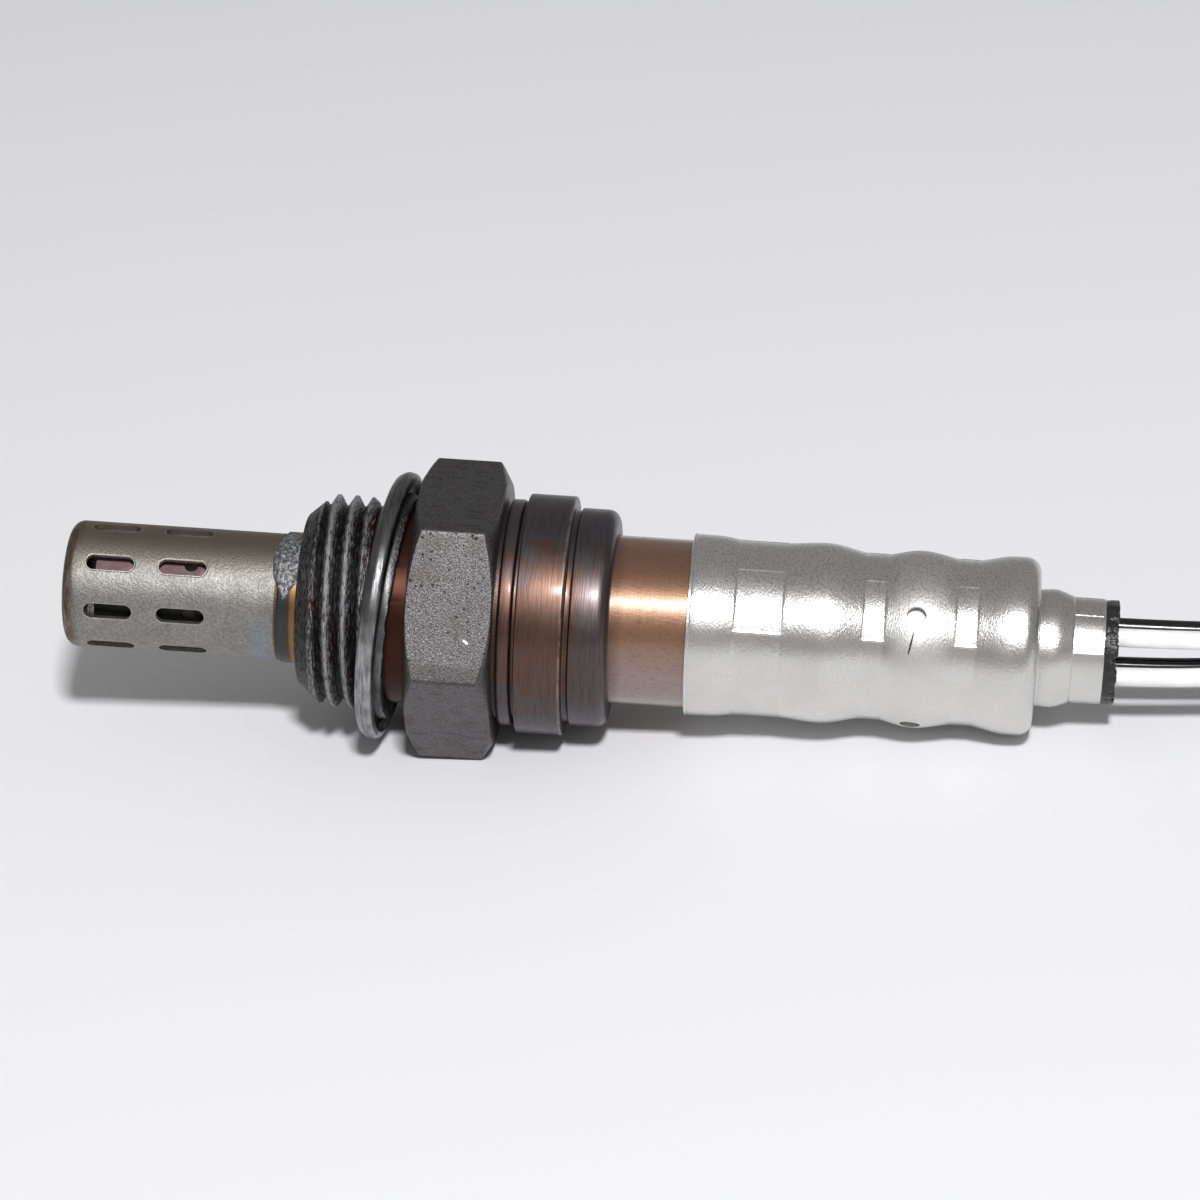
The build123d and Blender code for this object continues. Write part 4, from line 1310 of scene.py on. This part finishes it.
class LoomOperator(Operator):
    """Sleeved loom, coiled as for storage, with its boots, ties and connector"""

    bl_idname = "sensor.loom"
    bl_label = "Loom and connector"

    def execute(self, context):
        lead = context.scene.sensor_lead
        radius, thick = lead.coil_radius / MM, lead.loom_diameter / MM
        centre_x, low = 98.68, 2.7
        steps = 16
        reach = 1 / math.cos(math.pi / steps)
        points = [(66.55, 0, 4.6), (75.05, 0, 2.7), (83.55, 0, 2.7)]
        for k in range(2 * steps):
            turn = (k + 0.5) * 360 / steps
            if k < steps:
                # The first turn drifts inwards behind the second tie
                out, up = radius - thick * float(ease((turn - 240) / 120)), low
            else:
                # The second climbs from beside the first to the top of it
                roll = math.radians(90) * min(1, (turn - 360) / 120)
                out, up = radius - thick * math.cos(roll), low + thick * math.sin(roll)
            spoke = math.radians(turn - 90)
            along, across = out * reach * math.cos(spoke), out * reach * math.sin(spoke)
            points.append((centre_x + along, radius + across, up))
        points.append((118.8, 0, low + thick))
        loom = nurbs_cord(
            "loom_sleeving",
            points,
            lead.loom_diameter / 2,
            make_braid("braided_glass_sleeve_varnished", 329),
            ["loom_lead", "loom_coil", "loom_tail"],
        )
        # Glass-filled nylon, moulded: dark and nearly matt
        nylon = make_plain("moulded_nylon_dark", linear("#2c2c2e"), 0.46, 0.02, 0.15)
        dress_nodes(["connector_body", "connector_latch"], nylon, 0.25)
        # Orange-red nylon, moulded: smoother than the body
        lock = make_plain("moulded_nylon_orange", linear("#b5492a"), 0.35, 0.006)
        dress_nodes(["connector_lock"], lock, 0.15)
        # Silicone, moulded: soft and matt
        seal = make_plain("moulded_silicone_brown", linear("#8f4a2e"), 0.6, 0.01)
        dress_nodes(["connector_seal"], seal, 0.2)
        # Polyolefin tube, shrunk on by heat: black with a dull sheen
        tube = make_plain("shrunk_polyolefin_black", linear("#1a1a1b"), 0.42, 0.04, 0.4)
        dress_nodes(["entry_boot", "connector_boot"], tube, 0.2)
        # Natural nylon strap, moulded: milky
        strap = make_plain("moulded_nylon_natural", linear("#e2dfd6"), 0.4, 0.008)
        dress_nodes(["coil_tie_1", "coil_tie_2"], strap, 0.12)
        return {"FINISHED"}


def hexagon_radius(turns, across_flats, corner_round):
    """Outline of a hexagon with rounded corners, its flats facing up and down."""
    apothem = across_flats / 2
    off_corner = np.radians((np.degrees(turns) + 30) % 60 - 30)
    flat = apothem / np.cos(math.radians(30) - np.abs(off_corner))
    reach = (apothem - corner_round) / math.cos(math.radians(30))
    side = reach * np.sin(off_corner)
    bow = reach * np.cos(off_corner) + np.sqrt(np.maximum(corner_round**2 - side**2, 0))
    edge = math.atan2(corner_round / 2, reach + corner_round * math.cos(math.radians(30)))
    return np.where(np.abs(off_corner) < edge, bow, flat)


class HousingOperator(Operator):
    """Forged and turned housing with its M18 thread"""

    bl_idname = "sensor.housing"
    bl_label = "Housing"

    def thread_rows(self, sizes, turns):
        """Rows of the thread from its lead to its run-out, its surface uneven with paste."""
        crest, pitch = sizes.thread_diameter / 2 / MM, sizes.thread_pitch / MM
        root, phase = crest - sizes.thread_depth / MM, sizes.thread_phase / MM
        neck = sizes.relief_diameter / 2 / MM
        rows = []
        for station in np.arange(-9.6, -3.49, 0.05):
            place = (station - phase) / pitch + turns / math.tau
            off = np.abs(place - np.round(place)) * pitch
            flank = crest - np.maximum(off - 0.12, 0) * math.tan(math.radians(60))
            lead = 7.2 + (station + 9.6) * (crest - 7.2) / 2.0
            run_out = neck + (-3.5 - station) * 0.78
            radius = np.minimum(np.minimum(np.maximum(flank, root), lead), max(run_out, neck))
            lumps = [
                field.fractal(Vector((station * 2.2, 9 * math.cos(t), 9 * math.sin(t))), 0.8, 2, 3)
                for t in turns
            ]
            rows.append((station, radius + 0.14 * np.minimum(lumps, 0.0)))
        return rows

    def hexagon_rows(self, sizes, turns):
        """Rows of the hexagon between its chamfered ends."""
        outline = hexagon_radius(turns, sizes.across_flats / MM, sizes.corner_round / MM)
        face, chamfer, end = sizes.face_diameter / 2 / MM, sizes.chamfer / MM, sizes.hex_length / MM
        slope = (sizes.across_flats / math.sqrt(3) / MM - face) / chamfer
        start = np.maximum(outline - face, 0) / slope
        before = np.maximum(start - 0.06, 0)
        flat_end = np.minimum(face, outline - 0.08)
        eased = np.where(start > 0.06, outline - 0.06 * slope, flat_end)
        half = [(0.0, flat_end), (before, eased), (start + 0.08, outline)]
        return half + [(end - station, radius) for station, radius in reversed(half)]

    def execute(self, context):
        sizes, finish = context.scene.sensor_housing, context.scene.sensor_finish
        turns = ring_turns(180, range(0, 360, 60), (0.0, 0.4, 0.8, 1.14))
        neck = sizes.relief_diameter / 2 / MM
        rows = rounded(
            [
                (-14.0, 3.8, 0), (-14.0, 4.81, 0.1), (-11.4, 4.81, 0), (-11.4, 5.55, 0.2),
                (-9.6, 5.55, 0), (-9.6, 7.2, 0),
            ]
        )[:-1]
        rows += self.thread_rows(sizes, turns)
        rows += [(-3.45, neck), (-0.05, neck), (0.0, neck + 0.05)]
        rows += self.hexagon_rows(sizes, turns)
        bead, collar, rim = (
            d / 2 / MM for d in (sizes.bead_diameter, sizes.collar_diameter, sizes.rim_diameter)
        )
        rows += rounded(
            [
                (7.2, 9.0, 0.05), (7.5, 9.0, 0.05), (7.5, bead, 0.45), (8.75, bead, 0.45),
                (8.75, 9.0, 0.05), (9.05, 9.0, 0.05), (9.05, collar, 0.15), (13.0, collar, 0.2),
                (13.0, 8.95, 0.1), (13.5, 8.95, 0.1), (13.5, rim, 0.35), (16.7, rim, 1.2),
                (16.7, 7.15, 0.1), (15.4, 7.15, 0), (15.4, 8.0, 0), (9.4, 8.0, 0),
                (9.4, 5.9, 0), (-4.0, 5.9, 0), (-4.0, 3.8, 0),
            ],
            6,
        )
        housing = loft("housing_body", rows, turns)
        dress(housing, make_housing_steel(finish, sizes), ["housing"])
        return {"FINISHED"}


class PasteOperator(Operator):
    """Dried blob of thread paste on the shoulder in front of the thread"""

    bl_idname = "sensor.paste"
    bl_label = "Paste"

    def execute(self, context):
        middle, middle_turn, half, half_turn = -10.75, math.radians(66), 1.3, math.radians(38)
        rings, spokes = 16, 72
        matrix = sensor_matrix()
        mesh = bmesh.new()

        def place(share, spin, sunk=0.0):
            """Point of the blob, its outline ragged and drawn out to a point at the lower end."""
            ragged = 1 + 0.1 * field.noise(Vector((3 * math.cos(spin), 3 * math.sin(spin), 2)))
            narrow = 1 - 0.45 * max(0.0, -math.sin(spin)) ** 2
            x = middle + half * narrow * ragged * share * math.cos(spin)
            turn = middle_turn + half_turn * ragged * share * math.sin(spin)
            swell = math.sqrt(max(0.0, 1 - share**4))
            lumps = field.fractal(Vector((x * 2.2, turn * 9, 1)), 0.8, 2, 3)
            # The steel under it steps up from the protector to the shoulder
            under = 5.33 + 0.19 * float(ease((x + 11.6) / 0.3))
            height = under - 0.3 if sunk else under + swell * (0.2 + 0.1 * lumps)
            return mesh.verts.new(matrix @ (sensor_point(x, height, turn) * MM))

        around = [s * math.tau / spokes for s in range(spokes)]
        outside = [[place((r + 1) / rings, spin) for spin in around] for r in range(rings)]
        underside = [place(0.97, spin, 1.0) for spin in around]
        crown, foot = place(0.0, 0.0), place(0.0, 0.0, 1.0)
        for s in range(spokes):
            n = (s + 1) % spokes
            mesh.faces.new((crown, outside[0][s], outside[0][n]))
            for inner, outer in zip(outside, outside[1:]):
                mesh.faces.new((inner[s], outer[s], outer[n], inner[n]))
            mesh.faces.new((outside[-1][s], underside[s], underside[n], outside[-1][n]))
            mesh.faces.new((foot, underside[n], underside[s]))
        dress(finish_mesh("paste_blob", mesh, 60), make_paste(context.scene.sensor_finish))
        return {"FINISHED"}


class GasketOperator(Operator):
    """Folded steel gasket, loose on the relief"""

    bl_idname = "sensor.gasket"
    bl_label = "Gasket"

    def execute(self, context):
        g = context.scene.sensor_gasket
        turns = ring_turns(200)
        half, outer, bore = g.thickness / 2 / MM, g.diameter / 2 / MM, g.hole / 2 / MM
        profile = rounded(
            [
                (-half * 0.8, bore, 0.1), (-half, outer - 1.9, 0.3), (-half, outer - 0.45, 0.6),
                (-half * 0.25, outer, 0.6), (half * 0.5, outer - 0.12, 0.35),
                (half * 0.72, outer - 0.75, 0.15), (0.1, outer - 1.15, 0.1),
                (0.1, outer - 1.75, 0.1), (half * 1.1, outer - 2.0, 0.12),
                (half * 1.15, bore + 0.15, 0.12), (half * 0.9, bore, 0.05),
            ],
            6,
        )
        # The inner lip is torn: its edge wanders
        torn = np.array([
            field.fractal(Vector((5 * math.cos(t), 5 * math.sin(t), 3)), 0.7, 2, 4) for t in turns
        ])
        rows = [
            (x + torn * 0.16 * float(ease((x - 0.5) / 0.4)) * float(ease((9.7 - r) / 0.3)), r)
            for x, r in profile
        ]
        aim = Vector((1, -math.tan(g.cant_front), -math.tan(g.cant_up))).normalized()
        canted = Vector((1, 0, 0)).rotation_difference(aim).to_matrix().to_4x4()
        place = sensor_matrix() @ Matrix.Translation((g.station, 0, -g.sag)) @ canted
        gasket = loft("folded_gasket", rows, turns, place)
        dress(gasket, make_gasket_steel(context.scene.sensor_finish), ["gasket"])
        return {"FINISHED"}


def eased_line(knots, station):
    """Radius at a station along knots, round at each crest and steeper where it meets a crimp."""
    for (x0, r0), (x1, r1) in zip(knots, knots[1:]):
        if x0 <= station <= x1:
            share = (station - x0) / (x1 - x0)
            bow = 1 - (1 - share) ** 2 if r1 > r0 else share**2
            return r0 + (r1 - r0) * (0.5 * float(ease(share)) + 0.5 * bow)
    return knots[-1][1]


class ShellOperator(Operator):
    """Drawn outer shell with its crimps and vents"""

    bl_idname = "sensor.shell"
    bl_label = "Outer shell"

    def crimp(self, sizes, turns):
        """Factor and height that a crimp puts on the shell at each turn: flats, and ridges between."""
        pitch = 360 / sizes.jaws
        off_gap = (np.degrees(turns) - math.degrees(sizes.jaw_turn) + pitch / 2) % pitch - pitch / 2
        off_middle = np.radians(pitch / 2 - np.abs(off_gap))
        flat = math.cos(math.radians(pitch / 2)) / np.cos(off_middle)
        ridge = np.exp(-((off_gap / 0.8) ** 2)) * sizes.jaw_ridge / MM
        return 1 + sizes.jaw_flat * (flat - 1), ridge

    def vent_cutter(self, sizes):
        cutter = bmesh.new()
        for k in range(4):
            turn = sizes.vent_turn + k * math.pi / 2
            aimed = sensor_point(0, 1, turn).to_track_quat("Z", "Y").to_matrix().to_4x4()
            place = Matrix.Translation(sensor_point(sizes.vent_station, 7.4 * MM, turn))
            bmesh.ops.create_cone(
                cutter,
                cap_ends=True,
                segments=40,
                radius1=sizes.vent_diameter / 2,
                radius2=sizes.vent_diameter / 2,
                depth=1.6 * MM,
                matrix=sensor_matrix() @ place @ aimed,
            )
        return finish_mesh("vent_cutter", cutter)

    def execute(self, context):
        sizes = context.scene.sensor_shell
        gaps = [math.degrees(sizes.jaw_turn) + k * 360 / sizes.jaws for k in range(sizes.jaws)]
        turns = ring_turns(160, gaps, (0.0, 0.5, 1.0, 1.6, 2.4))
        knots = [
            (23.1, 7.65), (25.2, 7.62), (27.3, 7.35), (31.05, 7.35), (34.4, 7.6), (37.75, 6.975),
            (39.55, 6.975), (42.3, 7.475), (45.45, 6.975), (47.25, 6.975), (50.3, 7.525),
        ]
        crimps = [(27.05, 31.05), (37.75, 39.55), (45.45, 47.25), (55.25, 57.75)]
        factor, ridge = self.crimp(sizes, turns)

        def crimped(station, radius):
            share = max(within(station, start, end, 0.22) for start, end in crimps)
            return station, radius * (1 + share * (factor - 1)) + share * ridge

        edges = {end + d for ends in crimps for end in ends for d in (-0.1, -0.05, 0, 0.05, 0.1)}
        body = sorted({*np.arange(23.6, 50.3, 0.3), *(e for e in edges if e < 50.3)})
        neck = sorted({*np.arange(52.6, 57.6, 0.3), *(e for e in edges if e > 52)})
        rows = [(23.1, 7.25), (23.1, 7.6), (23.16, 7.68), (23.35, 7.68), (23.42, 7.62)]
        rows += [crimped(x, eased_line(knots, x)) for x in body]
        corners = [(47.0, 7.525, 0), (52.35, 7.525, 1.3), (52.35, 4.9, 0.15), (53.5, 4.98, 0)]
        rows += rounded(corners, 8)[1:-1]
        neck_knots = [(52.35, 4.9), (53.6, 4.98), (55.15, 4.52), (55.3, 4.4), (57.9, 4.4)]
        rows += [crimped(x, eased_line(neck_knots, x)) for x in neck]
        rows += [(57.9, 4.38), (57.9, 4.0), (55.2, 4.0), (53.0, 4.45), (51.95, 4.6), (51.95, 6.0)]
        rows += [(51.3, 7.0)] + [(x, r - sizes.wall / MM) for x, r in reversed(knots)]
        blank, tool = loft("shell_blank", rows, turns), self.vent_cutter(sizes)
        cut = blank.modifiers.new("vents", "BOOLEAN")
        cut.operation, cut.object, cut.solver = "DIFFERENCE", tool, "EXACT"
        context.view_layer.update()
        evaluated = blank.evaluated_get(context.evaluated_depsgraph_get())
        shell = place_mesh("crimped_shell", bpy.data.meshes.new_from_object(evaluated))
        bpy.data.objects.remove(blank)
        bpy.data.objects.remove(tool)
        dress(shell, make_shell_steel(context.scene.sensor_finish), ["outer_shell"])
        return {"FINISHED"}


class ProtectorOperator(Operator):
    """Slotted protectors over the element, and the bronze inner sleeve"""

    bl_idname = "sensor.protectors"
    bl_label = "Protectors and sleeve"

    def execute(self, context):
        finish, sizes = context.scene.sensor_finish, context.scene.sensor_protector
        outer = make_protector_steel(finish, sizes)
        dress_nodes(["outer_protector"], outer)
        dress_nodes(["inner_protector"], make_inner_protector_steel(finish))
        dress_nodes(["inner_sleeve"], make_sleeve_steel(finish))
        return {"FINISHED"}


class GrommetOperator(Operator):
    """Grommet in the neck, with a ragged lip"""

    bl_idname = "sensor.grommet"
    bl_label = "Grommet"

    def execute(self, context):
        turns = ring_turns(160)
        profile = [
            (52.9, 0.3, 0), (52.9, 3.95, 0.1), (57.88, 3.95, 0), (57.88, 4.3, 0.1), (58.4, 4.42, 0.3),
            (59.05, 4.44, 0.12), (59.05, 3.9, 0.2), (58.85, 3.6, 0.1), (58.85, 0.3, 0),
        ]
        crumbs = np.array([
            field.fractal(Vector((6 * math.cos(t), 6 * math.sin(t), 1)), 0.6, 2, 4) for t in turns
        ])
        rows = []
        for x, r in rounded(profile, 4):
            lip = float(ease((x - 58.1) / 0.4)) * float(ease((r - 3.6) / 0.4))
            rows.append((x + np.minimum(crumbs, 0.0) * 0.5 * lip, r + crumbs * 0.12 * lip - 0.1 * lip))
        # Fluorocarbon rubber, moulded and aged by heat: charcoal, with crumbs and a few wet glints
        rubber = make_plain("moulded_rubber_aged", linear("#1e1e1f"), 0.28, 0.2, 0.35)
        dress(loft("ragged_grommet", rows, turns), rubber, ["grommet"])
        return {"FINISHED"}


class InnerOperator(Operator):
    """Pieces inside the sensor: element, heater, packing, filter and terminals"""

    bl_idname = "sensor.inner"
    bl_label = "Inner pieces"

    def execute(self, context):
        # Alumina, fired: off-white with a faint grain
        ceramic = make_plain("fired_alumina", linear("#ebe5d9"), 0.5, 0.01)
        dress_nodes(
            ["sensing_element", "heater_rod", "ceramic_bush", "terminal_block", "centring_ring"],
            ceramic,
        )
        # Talc, pressed: chalky
        talc = make_plain("pressed_talc", linear("#d5d0c5"), 0.85, 0.04, 0.3)
        dress_nodes(["packing_powder"], talc)
        # Fluoropolymer membrane, expanded: white, porous and flat
        membrane = make_plain("expanded_membrane_white", linear("#f2f2f0"), 0.7, 0.01)
        dress_nodes(["vent_filter"], membrane)
        # Spring strip, nickel plated: pale and smooth
        plated = make_plain("nickel_plated_strip", linear("#c9bfa6"), 0.3, 0.002, 0.1, 1.0)
        contacts = ["signal_terminal", "ground_terminal", "heater_terminal_1", "heater_terminal_2"]
        contacts += [f"connector_terminal_{k}" for k in (1, 2, 3, 4)]
        dress_nodes(contacts, plated)
        # Stainless steel, drawn: as the shell round it
        dress_nodes(["filter_sleeve"], make_shell_steel(context.scene.sensor_finish))
        # Steel, turned: a plain dull ring
        ring = make_plain("turned_steel_ring", linear("#8d8177"), 0.35, 0.004, 0.1, 1.0)
        dress_nodes(["seat_ring", "compression_ring"], ring)
        return {"FINISHED"}


OPERATORS = (
    StudioOperator,
    WiresOperator,
    LoomOperator,
    ProtectorOperator,
    HousingOperator,
    PasteOperator,
    GasketOperator,
    ShellOperator,
    GrommetOperator,
    InnerOperator,
)


class SensorPanel(Panel):
    """Lists the operators that build the sensor"""

    bl_idname = "VIEW3D_PT_oxygen_sensor"
    bl_label = "Oxygen sensor"
    bl_space_type = "VIEW_3D"
    bl_region_type = "UI"
    bl_category = "Oxygen sensor"

    def draw(self, context):
        for operator in OPERATORS:
            self.layout.operator(operator.bl_idname)


CLASSES = (*SETTINGS.values(), *OPERATORS, SensorPanel)


def register():
    for kind in CLASSES:
        bpy.utils.register_class(kind)
    for name, kind in SETTINGS.items():
        setattr(bpy.types.Scene, name, PointerProperty(type=kind))


def unregister():
    for name in SETTINGS:
        delattr(bpy.types.Scene, name)
    for kind in reversed(CLASSES):
        bpy.utils.unregister_class(kind)


def main():
    register()
    for operator in OPERATORS:
        group, name = operator.bl_idname.split(".")
        getattr(getattr(bpy.ops, group), name)()


if __name__ == "__main__":
    main()
